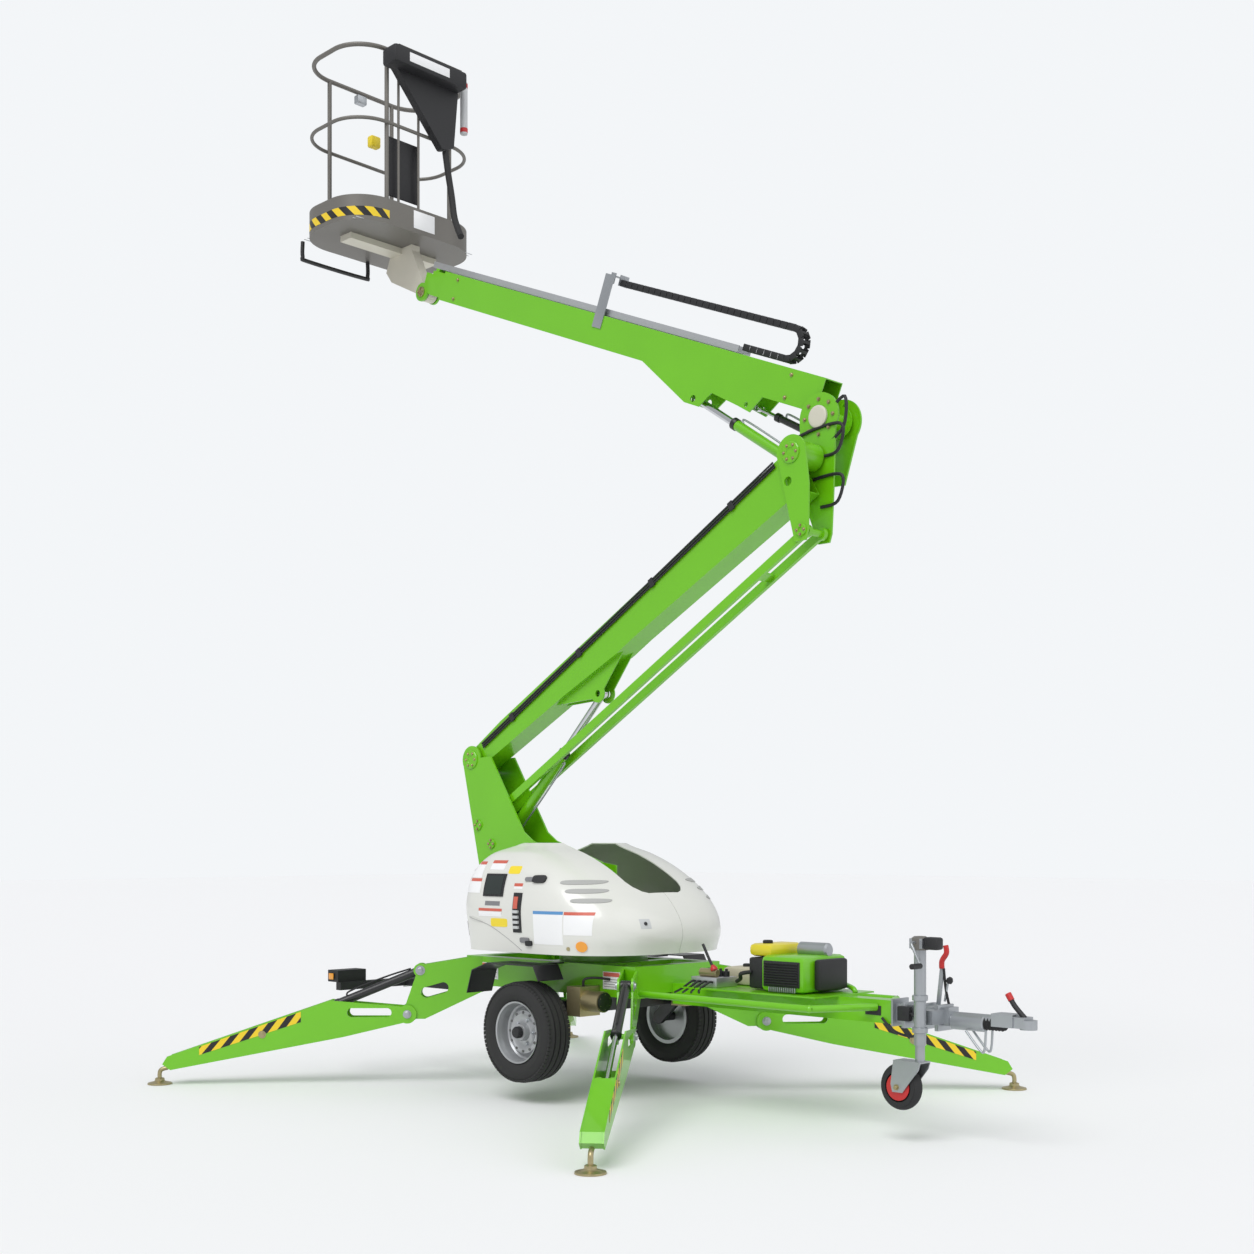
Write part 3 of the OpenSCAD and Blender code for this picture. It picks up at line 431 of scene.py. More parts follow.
print("repeat group ready, inputs", len(repeat_sockets) - 1)

# %% [markdown]
# ## Road wheels
# The tyre is a turned section with three grooves, a rounded shoulder and a raised wall ring, plus
# a ring of shoulder lugs on each side. The rim is a turned dish with nuts, and painted shade for its ring of
# holes.

# %% Tyres and rims
tyre_half = (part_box("tyre_right")[1].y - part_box("tyre_right")[0].y) / 2
tyre_radius = (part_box("tyre_right")[1].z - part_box("tyre_right")[0].z) / 2
rim_radius = (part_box("rim_right")[1].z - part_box("rim_right")[0].z) / 2


def tyre_profile():
    r, w = tyre_radius, tyre_half
    wall = [(rim_radius - 0.004, w - 0.028), (rim_radius + 0.006, w - 0.016), (rim_radius + 0.016, w - 0.010),
            (rim_radius + 0.030, w - 0.003), (rim_radius + 0.045, w - 0.0005), (rim_radius + 0.049, w),
            (rim_radius + 0.053, w - 0.001), (r - 0.030, w - 0.007), (r - 0.014, w - 0.018),
            (r - 0.006, w - 0.030)]
    tread = []
    for c in (0.040, 0.0, -0.040):
        tread += [(r - 0.0005, c + 0.0055), (r - 0.010, c + 0.0035), (r - 0.010, c - 0.0035),
                  (r - 0.0005, c - 0.0055)]
    return wall + tread + [(a, -b) for a, b in reversed(wall)]


def rim_profile(side):
    r, w = rim_radius, tyre_half
    face = [(0.030, 0.055), (0.046, 0.055), (0.050, 0.048), (0.052, 0.020), (0.066, 0.012), (0.086, 0.014),
            (0.105, 0.026), (0.125, 0.022), (0.138, 0.002), (0.150, -0.004), (0.160, 0.004), (0.163, 0.045),
            (r - 0.016, 0.052), (r - 0.010, w - 0.016), (r - 0.001, w - 0.012), (r - 0.001, w - 0.018),
            (r - 0.008, w - 0.022), (r - 0.008, -w + 0.018), (0.150, -w + 0.018), (0.150, -0.02),
            (0.030, -0.02)]
    return [(a, b * side) for a, b in face]


for label, side in (("right", -1), ("left", 1)):
    hub = pivot(f"wheel_{label}_spin")
    body = f"wheel_{label}"
    tyre = turned(f"road_tyre_{label}", tyre_profile(), hub, (0, 1, 0), tyre_rubber, body, 120, closed=True)
    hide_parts(f"tyre_{label}")
    for edge in (-1, 1):
        lug = bmesh.new()
        add_block(lug, (-0.010, -0.0108, -0.014), (0.0030, 0.0108, 0.014), bevel=0.0015)
        place = hub + Vector((0, edge * (tyre_half - 0.024), 0))
        repeated(f"tread_lugs_{label}_{'outer' if edge == side else 'inner'}", lug, 72, tyre_rubber, body,
                 facing(place, (0, 1, 0)), radius=tyre_radius - 0.0095, turn=2 * math.pi / 72)
    rim = turned(f"road_rim_{label}", rim_profile(side), hub, (0, 1, 0), rim_paint, body, 96, closed=True)
    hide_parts(f"rim_{label}")
    turned(f"hub_cap_{label}", [(0.034, 0), (0.034, 0.030), (0.028, 0.040), (0.010, 0.043)],
           hub + Vector((0, side * 0.048, 0)), (0, side, 0), black_plastic, body)
    bolt_ring(f"wheel_nuts_{label}", hub + Vector((0, side * 0.012, 0)), (0, side, 0), 0.070, 5, 0.0095,
              galvanised, body)
    # painted shade: dark grey stubs stand for the shade in the rim's ring of holes
    bolt_ring(f"rim_windows_{label}", hub + Vector((0, side * 0.0195, 0)), (0, side, 0), 0.112, 12, 0.0082,
              shadow_grey, body)
print("wheels dressed")

# %% [markdown]
# ## Outrigger legs
# Each leg gets a strip of yellow and black warning stripes on both sides, a bent foot pin with a
# dished pad, pin caps, and a gland ring on its cylinder. The stripes read the strip's own UV map.

# %% Warning stripes
def striped(name, first, second, pitch):
    """Slanting stripes of two colours, read from the UV map named stripes, in metres."""
    material, tree, shader = new_material(name, 0.4)
    new = tree.nodes.new
    uv, split, mix = new("ShaderNodeUVMap"), new("ShaderNodeSeparateXYZ"), new("ShaderNodeMix")
    lean, wrap, cut = new("ShaderNodeMath"), new("ShaderNodeMath"), new("ShaderNodeMath")
    uv.uv_map = "stripes"
    wrap.operation = "PINGPONG"
    wrap.inputs[1].default_value = pitch
    cut.operation = "GREATER_THAN"
    cut.inputs[1].default_value = pitch / 2
    mix.data_type = "RGBA"
    mix.inputs[6].default_value = (*first, 1)
    mix.inputs[7].default_value = (*second, 1)
    wire(tree, (uv, "UV", split, 0), (split, "X", lean, 0), (split, "Y", lean, 1), (lean, 0, wrap, 0),
         (wrap, 0, cut, 0), (cut, 0, mix, 0), (mix, 2, shader, "Base Color"))
    return material


hazard = striped("hazard_stripes", (0.012, 0.012, 0.013), (0.82, 0.58, 0.02), 0.062)


def strip(name, upper, lower, out, material, body, thick=0.0012):
    """A striped band between two rows of points; its UV runs along in metres."""
    bm = bmesh.new()
    layer = bm.loops.layers.uv.new("stripes")
    out = [Vector(o) for o in out]
    rows = [[bm.verts.new(Vector(p) + o * t) for p, o in zip(row, out)]
            for row, t in ((upper, thick), (lower, thick), (lower, -thick), (upper, -thick))]
    run = [0.0]
    for a, b in zip(upper, upper[1:]):
        run.append(run[-1] + (Vector(b) - Vector(a)).length)
    tall = (Vector(upper[0]) - Vector(lower[0])).length
    v_of = (tall, 0, 0, tall)
    for j in range(4):
        for i in range(len(upper) - 1):
            k = (j + 1) % 4
            face = bm.faces.new((rows[j][i], rows[j][i + 1], rows[k][i + 1], rows[k][i]))
            for loop, (row, col) in zip(face.loops, ((j, i), (j, i + 1), (k, i + 1), (k, i))):
                loop[layer].uv = (run[col], v_of[row])
    bm.faces.new([rows[j][0] for j in range(4)])
    bm.faces.new([rows[j][-1] for j in range(3, -1, -1)])
    return piece(name, bm, material, body)


def leg_point(joint, u, w, z):
    """A point in a leg's own plane: outward, sideways and up from its pivot."""
    axis = Vector(joint["axis"])
    out = Vector((-axis.y, axis.x, 0))
    return Vector(joint["pos_m"]) + out * u + axis * w + Vector((0, 0, z))


def leg_top(u):
    return 0.086 + (u - 0.48) / 1.01 * (0.032 - 0.380)


# %% Legs, feet and leg cylinders
for label in ("rear_right", "rear_left", "front_right", "front_left"):
    joint = joints[f"leg_{label}_fold"]
    body = f"leg_{label}"
    axis = Vector(joint["axis"])

    def at(u, w, z):
        return leg_point(joint, u, w, z)

    us = [0.66 + k * 0.07 for k in range(10)]
    for side, word in ((1, "a"), (-1, "b")):
        upper = [at(u, side * 0.0583, leg_top(u) - 0.008) for u in us]
        lower = [at(u, side * 0.0583, leg_top(u) - 0.008 - 0.058 * (1.1 - 0.35 * (u - 0.66))) for u in us]
        strip(f"leg_stripes_{label}_{word}", upper, lower, [axis * side] * len(us), hazard, body)
        turned(f"leg_pin_cap_{label}_{word}", [(0.026, 0), (0.026, 0.004), (0.019, 0.005), (0.019, 0.014),
                                               (0.015, 0.016)],
               at(0, side * 0.058, 0), axis * side, galvanised, "chassis")
        turned(f"leg_rod_pin_{label}_{word}", [(0.024, 0), (0.024, 0.003), (0.015, 0.004), (0.015, 0.010),
                                               (0.012, 0.011)],
               at(0.9, side * 0.0575, -0.125), axis * side, zinc, body)
        turned(f"leg_barrel_pin_{label}_{word}", [(0.030, 0), (0.030, 0.004), (0.018, 0.005), (0.018, 0.012),
                                                  (0.014, 0.014)],
               at(-0.08, side * 0.0445, 0.272), axis * side, galvanised, "chassis")
    tip = at(1.55, 0, -0.44)
    dish = turned(f"foot_pad_{label}", [(0.0745, 0), (0.075, 0.003), (0.073, 0.009), (0.058, 0.013),
                                        (0.036, 0.018), (0.030, 0.024),
                                  (0.029, 0.036), (0.022, 0.040)], tip, (0, 0, 1), zinc, body, steps=40)
    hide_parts(f"foot_{label}")
    tube(f"foot_pin_{label}", [at(1.55, 0, -0.408), at(1.551, 0, -0.378), at(1.545, 0, -0.355),
                               at(1.527, 0, -0.344),
                               at(1.500, 0, -0.338)], 0.0135, zinc, body)
    base = pivot(f"leg_barrel_{label}_pivot")
    way = Vector(joints[f"leg_rod_{label}_slide"]["axis"])
    barrel = f"leg_barrel_{label}"
    turned(f"gland_{label}", [(0.0275, 0), (0.0305, 0.002), (0.0305, 0.026), (0.026, 0.031), (0.017, 0.033)],
           base + way * 0.545, way, black_paint, barrel)
    tube(f"jack_pipe_{label}", [base + way * s + Vector((0, 0, rise)) for s, rise in (
        (0.50, 0.026), (0.49, 0.046), (0.40, 0.050), (0.22, 0.046), (0.07, 0.034))], 0.0055, rubber, barrel,
         sides=8)
# %% [markdown]
# ## Hitch end
# The overrun tube with its ribbed gaiter, the coupling handle, the handbrake and the jockey
# wheel's clamp. They sit on the drawbar's own axis.

# %% Hitch
def ribbed(first, last, radius, waves):
    """A bellows profile along +Z."""
    steps = waves * 4
    return [(radius + 0.005 * math.sin(math.pi * k / 2), first + (last - first) * k / steps)
            for k in range(steps + 1)]


turned("overrun_tube", [(0.030, 0), (0.042, 0.004), (0.042, 0.186), (0.036, 0.192)], (2.493, 0, 0.612),
       (1, 0, 0),
       galvanised, "chassis")
turned("overrun_gaiter", ribbed(0, 0.108, 0.031, 6), (2.684, 0, 0.616), (1, 0, 0), rubber, "chassis")
tube("coupling_handle", [(2.816, 0, 0.752), (2.84, 0, 0.715), (2.87, 0, 0.683), (2.90, 0, 0.655)], 0.013,
     black_plastic, "chassis")
grip = tube("coupling_grip", [(2.806, 0, 0.768), (2.816, 0, 0.752), (2.826, 0, 0.736)], 0.016, red_plastic,
            "chassis")
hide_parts("hitch_levers")
for y in (-0.03, 0.03):
    tube(f"brake_strut_{'right' if y < 0 else 'left'}", [(2.586, y, 0.572), (2.673, y, 0.477),
                                                         (2.694, y, 0.491),
         (2.701, y, 0.581)], 0.006, galvanised, "chassis", rounds=4)
block("brake_lever", (2.36, 0.046, 0.68), (2.385, 0.054, 0.872), galvanised, "chassis", 0.002,
      Matrix.Rotation(math.radians(6.7), 3, "Y"), (2.371, 0.05, 0.68))
tube("brake_grip", [(2.393, 0.05, 0.866), (2.394, 0.05, 0.905), (2.420, 0.05, 0.945), (2.415, 0.05, 0.984)],
     0.014,
     red_plastic, "chassis")
tube("brake_spring", [(2.404, 0.05, 0.867), (2.415, 0.05, 0.769), (2.436, 0.05, 0.682)], 0.007, rubber,
     "chassis")
tube("brake_stem", [(2.41, 0.05, 0.70), (2.422, 0.05, 0.76), (2.43, 0.05, 0.80)], 0.006, galvanised,
     "chassis")
turned("brake_knob", [(0.004, 0), (0.016, 0.006), (0.018, 0.02), (0.010, 0.034)], (2.43, 0.05, 0.792),
       (0.6, 0, 1),
       black_plastic, "chassis", 20)
for x in (2.24, 2.34, 2.44):
    block(f"clamp_plate_{round(x * 100)}", (x - 0.012, -0.07, 0.56), (x + 0.012, 0.07, 0.69), galvanised,
          "chassis", 0.003)
    bolt_ring(f"clamp_bolts_{round(x * 100)}", (x, -0.07, 0.625), (0, -1, 0), 0.0, 1, 0.010, zinc, "chassis")
block("brake_valve", (2.226, -0.105, 0.60), (2.30, -0.072, 0.675), black_plastic, "chassis", 0.006)
tube("brake_pipe", [(2.30, -0.09, 0.64), (2.36, -0.10, 0.60), (2.33, -0.10, 0.53), (2.20, -0.08, 0.54),
     (2.10, -0.056, 0.60)], 0.007, black_plastic, "chassis")
block("drawbar_label", (1.99, -0.0525, 0.612), (2.09, -0.0505, 0.662), black_plastic, "chassis", 0.0008)

# %% Jockey wheel
jockey = pivot("jockey_wheel_spin")
mast = pivot("jockey_swivel")
turned("jockey_cap", [(0.040, 0), (0.044, 0.006), (0.044, 0.058), (0.030, 0.068), (0, 0.070)],
       (mast.x, mast.y, 0.972),
       (0, 0, 1), grey_paint, "chassis")
block("jockey_gear", (mast.x + 0.034, mast.y - 0.03, 0.976), (mast.x + 0.12, mast.y + 0.03, 1.038),
      black_plastic,
      "chassis", 0.012)
tube("jockey_crank", [(mast.x, mast.y - 0.03, 1.01), (mast.x, mast.y - 0.075, 1.01),
                      (mast.x + 0.02, mast.y - 0.085, 0.98),
     (mast.x + 0.06, mast.y - 0.085, 0.90)], 0.007, galvanised, "chassis", rounds=4)
tube("jockey_crank_grip", [(mast.x + 0.06, mast.y - 0.085, 0.90), (mast.x + 0.06, mast.y - 0.16, 0.90)],
     0.014,
     black_plastic, "chassis")
for z in (0.56, 0.72):
    turned(f"jockey_collar_{round(z * 100)}", [(0.032, 0), (0.039, 0.003), (0.039, 0.027), (0.032, 0.03)],
           (mast.x, mast.y, z), (0, 0, 1), galvanised, "chassis")
for side in (-1, 1):
    place = jockey + Vector((0, side * 0.034, 0))
    turned(f"jockey_hub_{'right' if side < 0 else 'left'}",
           [(0.010, 0), (0.068, 0.0), (0.068, 0.004), (0.030, 0.008),
           (0.022, 0.014), (0.010, 0.015)], place - Vector((0, side * 0.004, 0)), (0, side, 0), red_plastic,
           "jockey_wheel")
bolt_ring("jockey_axle_nut", jockey + Vector((0, -0.046, 0)), (0, -1, 0), 0.0, 1, 0.011, zinc, "jockey_fork")
print("hitch and jockey wheel dressed")

# %% [markdown]
# ## Engine and hydraulics
# The engine has a green cowl with a slatted grille, a fuel tank and a silencer. Beside it are the
# oil tank, the valve block with its pipes, and the change-over lever.

# %% Engine
def slats(name, low, high, count, material, body, lean=0.0):
    """A row of slats that fills a panel facing -Y, from low to high."""
    low, high = Vector(low), Vector(high)
    pitch = (high.z - low.z) / count
    bm = bmesh.new()
    add_block(bm, (low.x, low.y, 0), (high.x, high.y, pitch * 0.55), 0.001,
              Matrix.Rotation(lean, 3, "X"))
    return repeated(name, bm, count, material, body, Matrix.Translation((0, 0, low.z + pitch * 0.2)),
                    step=(0, 0, pitch))


cowl = block("engine_cowl", (1.405, -0.20, 0.705), (1.70, 0.18, 0.90), green_paint, "chassis", 0.028)
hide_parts("engine")
block("engine_grille", (1.43, -0.2065, 0.735), (1.675, -0.198, 0.872), black_plastic, "chassis", 0.003)
slats("engine_slats", (1.438, -0.214, 0.742), (1.667, -0.205, 0.868), 9, black_plastic, "chassis", 0.5)
fin = bmesh.new()
add_block(fin, (0, -0.211, 0.708), (0.006, -0.200, 0.734), 0.001)
repeated("engine_fins", fin, 13, galvanised, "chassis", Matrix.Translation((1.47, 0, 0)), step=(0.0145, 0, 0))
block("engine_tank", (1.27, -0.14, 0.885), (1.43, 0.14, 0.955), tank_yellow, "chassis", 0.025)
turned("tank_cap", [(0.026, 0), (0.028, 0.004), (0.028, 0.016), (0.022, 0.020), (0, 0.020)],
       (1.35, -0.07, 0.953),
       (0, 0, 1), black_plastic, "chassis")
block("engine_block", (1.28, -0.15, 0.712), (1.40, 0.15, 0.88), black_plastic, "chassis", 0.012)
block("engine_starter", (1.705, -0.12, 0.72), (1.752, 0.12, 0.885), black_plastic, "chassis", 0.014)
turned("engine_silencer", [(0.030, 0), (0.040, 0.008), (0.040, 0.19), (0.030, 0.20)], (1.48, 0.05, 0.925),
       (1, 0, 0),
       galvanised, "chassis")
tube("engine_pipe", [(1.30, -0.152, 0.80), (1.26, -0.19, 0.79), (1.23, -0.16, 0.76), (1.17, -0.12, 0.74)],
     0.011,
     rubber, "chassis")
tube("tray_loop", [(1.294, 0.38, 0.675), (1.30, 0.375, 0.72), (1.511, 0.32, 0.73), (1.76, 0.14, 0.725),
                   (1.80, 0.12, 0.70)],
     0.014, green_paint, "chassis")

# %% Hydraulics
unit_low, unit_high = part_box("hydraulic_unit")
oil = block("oil_tank", (unit_low.x + 0.04, 0.02, unit_low.z), (unit_high.x, unit_high.y, unit_high.z),
            beige_tank,
            "chassis", 0.022)
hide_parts("hydraulic_unit")
turned("oil_cap", [(0.024, 0), (0.024, 0.014), (0.018, 0.018), (0, 0.018)], (1.04, 0.12, unit_high.z - 0.001),
       (0, 0, 1), black_plastic, "chassis")
valve_y = unit_low.y
block("valve_block", (unit_low.x, valve_y, unit_low.z), (unit_low.x + 0.19, -0.02, unit_low.z + 0.055),
      aluminium,
      "chassis", 0.004)
for k in range(4):
    x = unit_low.x + 0.03 + 0.043 * k
    turned(f"valve_coil_{k + 1}", [(0.016, 0), (0.018, 0.003), (0.018, 0.030), (0.008, 0.033),
                                   (0.008, 0.044)],
           (x, -0.08, unit_low.z + 0.054), (0, 0, 1), black_plastic, "chassis", 20)
    tube(f"valve_pipe_{k + 1}", [(x, valve_y + 0.004, unit_low.z + 0.03),
                                 (x, valve_y - 0.03, unit_low.z + 0.03),
         (x - 0.05, valve_y - 0.05, unit_low.z - 0.01), (x - 0.18, valve_y + 0.03 + 0.02 * k,
                                                         unit_low.z - 0.045)],
         0.0065, black_plastic, "chassis", 10, 5)
turned("hand_pump", [(0.020, 0), (0.024, 0.004), (0.024, 0.12), (0.018, 0.126)],
       (unit_low.x + 0.03, -0.15, unit_low.z + 0.078),
       (1, 0, 0), zinc, "chassis", 24)
turned("change_lever_base", [(0.020, 0), (0.020, 0.012), (0.010, 0.03)], (1.075, -0.2, 0.80), (-0.55, 0, 1),
       red_plastic,
       "chassis", 20)
tube("change_lever", [(1.062, -0.2, 0.82), (1.03, -0.2, 0.87), (0.99, -0.2, 0.94)], 0.008, black_plastic,
     "chassis")
for side, name in ((-1, "right"), (1, "left")):
    low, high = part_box("traction_drives")
    y = side * (high.y - 0.06)
    turned(f"drive_end_{name}", [(0.030, 0), (0.052, 0.001), (0.054, 0.010), (0.020, 0.014), (0, 0.014)],
           (high.x - 0.001, y, 0.60), (1, 0, 0), black_paint, "chassis")
    bolt_ring(f"drive_bolts_{name}", (high.x + 0.004, y, 0.60), (1, 0, 0), 0.040, 6, 0.005, zinc, "chassis")
    tube(f"drive_pipe_{name}", [(0.30, y, 0.68), (0.31, y, 0.72), (0.36, y - side * 0.04, 0.73),
                                (0.42, side * 0.362, 0.72)],
         0.0075, black_plastic, "chassis")
print("engine and hydraulics dressed")

# %% Rear lamps and frame labels
bar_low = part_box("rear_lights")[0]
for side, name in ((-1, "right"), (1, "left")):
    for k, (finish_of, half) in enumerate(((red_plastic, 0.034), (amber, 0.024), (red_plastic, 0.030))):
        y = side * (0.62 + 0.07 * k)
        block(f"lamp_{name}_{k + 1}", (bar_low.x - 0.008, y - half, 0.622),
              (bar_low.x + 0.004, y + half, 0.674),
              finish_of, "chassis", 0.004)
    block(f"lamp_lens_side_{name}", (bar_low.x + 0.02, side * 0.804 - 0.006, 0.625),
          (bar_low.x + 0.07, side * 0.804 + 0.002 * side, 0.665), amber, "chassis", 0.003)
block("number_plate", (bar_low.x + 0.074, -0.25, 0.545), (bar_low.x + 0.080, 0.25, 0.625), label_white,
      "chassis", 0.003)


def frame_label(name, x0, x1, z0, z1, y):
    block(name, (x0, y - 0.0015, z0), (x1, y, z1), label_white, "chassis", 0.0007)
    block(name + "_band", (x0 + 0.004, y - 0.0022, z1 - 0.028), (x1 - 0.004, y - 0.001, z1 - 0.004),
          label_red,
          "chassis", 0.0005)
    for k in range(4):
        z = z0 + 0.012 + 0.014 * k
        block(f"{name}_line_{k + 1}", (x0 + 0.01, y - 0.002, z),
              (x1 - 0.012 - 0.01 * (k % 2), y - 0.001, z + 0.004),
              recess_grey, "chassis", 0.0004)


frame_label("frame_label_rear", -0.714, -0.56, 0.664, 0.764, -0.36)
frame_label("frame_label_front", 0.36, 0.50, 0.664, 0.764, -0.36)
print("rear lamps and labels placed")
# %% [markdown]
# ## Canopies
# The two covers are one smooth dome, cut in half along the middle and slotted for the booms. The
# dome is lofted: at each height an outline between the rear, front and side limits, rounder in
# front than behind. Straight cuts make the slot, and a solidify modifier gives the wall.

# %% Shape of the dome
canopy_low, canopy_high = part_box("canopy_right")
dome_z0, dome_z1 = canopy_low.z + 0.002, canopy_high.z
dome_rear, dome_front, dome_half = canopy_low.x, canopy_high.x, -canopy_low.y
slot_half, slot_front, slot_corner = 0.222, 0.500, 0.12
rear_edge = [(0, 0.035), (0.40, 0.004), (0.62, 0.02), (0.74, 0.05), (0.86, 0.11), (0.94, 0.19),
             (0.98, 0.28), (1, 0.40)]
front_edge = [(0, 0.045), (0.16, 0.006), (0.30, 0.025), (0.46, 0.10), (0.60, 0.205), (0.75, 0.36),
              (0.88, 0.54), (0.96, 0.70), (1, 0.82)]
side_edge = [(0, 0.022), (0.39, 0.003), (0.60, 0.025), (0.76, 0.062), (0.88, 0.118), (0.96, 0.19),
             (1, 0.30)]


def read_table(table, t):
    """Reads a table of (height, value) with straight steps."""
    for (ta, a), (tb, b) in zip(table, table[1:]):
        if t <= tb:
            return a + (b - a) * (t - ta) / (tb - ta)
    return table[-1][1]


def dome_ring(t, count):
    """The dome's outline at height t, from 0 at the rim to 1 at the top."""
    around = [min(1, max(0, t + d)) for d in (-0.05, -0.025, 0, 0.025, 0.05)]
    x0, x1, half = (sum(read_table(e, u) for u in around) / 5 for e in (rear_edge, front_edge, side_edge))
    x0, x1, half = dome_rear + x0, dome_front - x1, dome_half - half
    xm = x0 + (x1 - x0) * 0.45
    ring = []
    for k in range(count):
        a = 2 * math.pi * k / count
        c, s = math.cos(a), math.sin(a)
        power = 2.9 if c > 0 else 6.5
        r = (abs(c) ** power + abs(s) ** power) ** (-1 / power)
        ring.append(Vector((xm + ((x1 - xm) if c > 0 else (xm - x0)) * r * c, half * r * s,
                            dome_z0 + (dome_z1 - dome_z0) * t)))
    return ring


def make_dome(steps=160, rings=36):
    """The whole dome as one surface, closed at the top and open below."""
    bm = bmesh.new()
    rows = [[bm.verts.new(p) for p in dome_ring(math.sin(math.pi * k / (2 * rings)), steps)]
            for k in range(rings + 1)]
    skin(bm, rows)
    bm.faces.new(rows[-1])
    bmesh.ops.recalc_face_normals(bm, faces=bm.faces)
    return bm


whole = make_dome()
dome_tree = BVHTree.FromBMesh(whole)
print("dome faces", len(whole.faces))

# %% The two covers
slot_planes = [((0, slot_half, 0), (0, 1, 0)), ((0, -slot_half, 0), (0, -1, 0)),
               ((slot_front, 0, 0), (1, 0, 0))]
for side in (-1, 1):
    for angle in (20, 45, 70):
        a = math.radians(angle)
        hub = Vector((slot_front - slot_corner, side * (slot_half - slot_corner), 0))
        way = Vector((math.sin(a), side * math.cos(a), 0))
        slot_planes.append((hub + way * slot_corner, way))


def make_canopy(name, side, body):
    """One half of the dome, with the slot cut out and a wall put on inside."""
    bm = whole.copy()
    for point, way in slot_planes:
        bmesh.ops.bisect_plane(bm, geom=bm.verts[:] + bm.edges[:] + bm.faces[:], plane_co=point, plane_no=way)
    bmesh.ops.bisect_plane(bm, geom=bm.verts[:] + bm.edges[:] + bm.faces[:], plane_co=(0, 0.0015 * side, 0),
                           plane_no=(0, side, 0), clear_inner=True)
    inside = [f for f in bm.faces if all((f.calc_center_median() - Vector(p)).dot(Vector(w)) < 0
                                         for p, w in slot_planes)]
    bmesh.ops.delete(bm, geom=inside, context="FACES")
    bmesh.ops.remove_doubles(bm, verts=bm.verts, dist=0.0005)
    shell = smooth_piece(name, bm, shell_white)
    wall = shell.modifiers.new("wall", "SOLIDIFY")
    wall.thickness = 0.007
    wall.offset = -1
    wall.use_even_offset = True
    shell.data = baked(shell)
    shell.data.set_sharp_from_angle(angle=math.radians(40))
    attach(shell, body)
    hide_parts(body)
    return shell


for name, side in (("canopy_right", -1), ("canopy_left", 1)):
    made = make_canopy(name + "_shell", side, name)
    print(made.name, "faces", len(made.data.polygons))

# %% [markdown]
# ## Things on the canopies
# A patch is a thin sheet laid on the dome: a small grid is cast on to the dome along a direction,
# then lifted off a little. It makes labels, screens and catches that follow the curve. All the
# labels are blank.

# %% Patch helper
def cast(point, way):
    """The dome's surface along a direction, or its nearest point where the direction misses it."""
    spot, normal, _, _ = dome_tree.ray_cast(Vector(point), Vector(way).normalized())
    if spot is None:
        spot, normal, _, _ = dome_tree.find_nearest(Vector(point) + Vector(way).normalized() * 1.4)
    return spot, normal


def patch(name, x0, x1, z0, z1, side, material, body, lift=0.0012, round_to=0.0, rows=8, front=False):
    """A sheet over x0..x1, z0..z1 seen from the side, or over y, z seen from the front."""
    bm = bmesh.new()
    grid = []
    for j in range(rows + 1):
        line = []
        for i in range(rows + 1):
            u, v = i / rows * 2 - 1, j / rows * 2 - 1
            if round_to:
                reach = (abs(u) ** round_to + abs(v) ** round_to) ** (1 / round_to) if (u or v) else 1
                scale = max(abs(u), abs(v)) / reach
                u, v = u * scale, v * scale
            a = (x0 + x1) / 2 + u * (x1 - x0) / 2
            z = (z0 + z1) / 2 + v * (z1 - z0) / 2
            start, way = ((2, a, z), (-1, 0, 0)) if front else ((a, 2 * side, z), (0, -side, 0))
            spot, normal = cast(start, way)
            line.append((spot, normal))
        grid.append(line)
    top = [[bm.verts.new(p + n * lift) for p, n in line] for line in grid]
    low = [[bm.verts.new(p - n * 0.001) for p, n in line] for line in grid]
    for j in range(rows):
        for i in range(rows):
            bm.faces.new((top[j][i], top[j][i + 1], top[j + 1][i + 1], top[j + 1][i]))
            bm.faces.new((low[j][i], low[j + 1][i], low[j + 1][i + 1], low[j][i + 1]))
    rim = [(0, i) for i in range(rows)] + [(i, rows) for i in range(rows)]
    rim += [(rows, rows - i) for i in range(rows)] + [(rows - i, 0) for i in range(rows)]
    for (ja, ia), (jb, ib) in zip(rim, rim[1:] + rim[:1]):
        bm.faces.new((top[ja][ia], low[ja][ia], low[jb][ib], top[jb][ib]))
    return piece(name, bm, material, body)


def seam(name, points, side, radius, material, body):
    """A thin bead on the dome's side, through (x, z) points."""
    path = [cast((x, 2 * side, z), (0, -side, 0))[0] for x, z in points]
    return tube(name, path, radius, material, body, sides=8)


print("patch and seam ready")

# %% Controls, catches and labels
cr, cl = "canopy_right", "canopy_left"


def banded(name, x0, x1, z0, z1, side, head, body, deep=0.018):
    """A blank white label with a coloured band along its top."""
    patch(name, x0, x1, z0, z1, side, label_white, body)
    patch(name + "_band", x0, x1, z1 - deep, z1, side, head, body, lift=0.0018, rows=6)


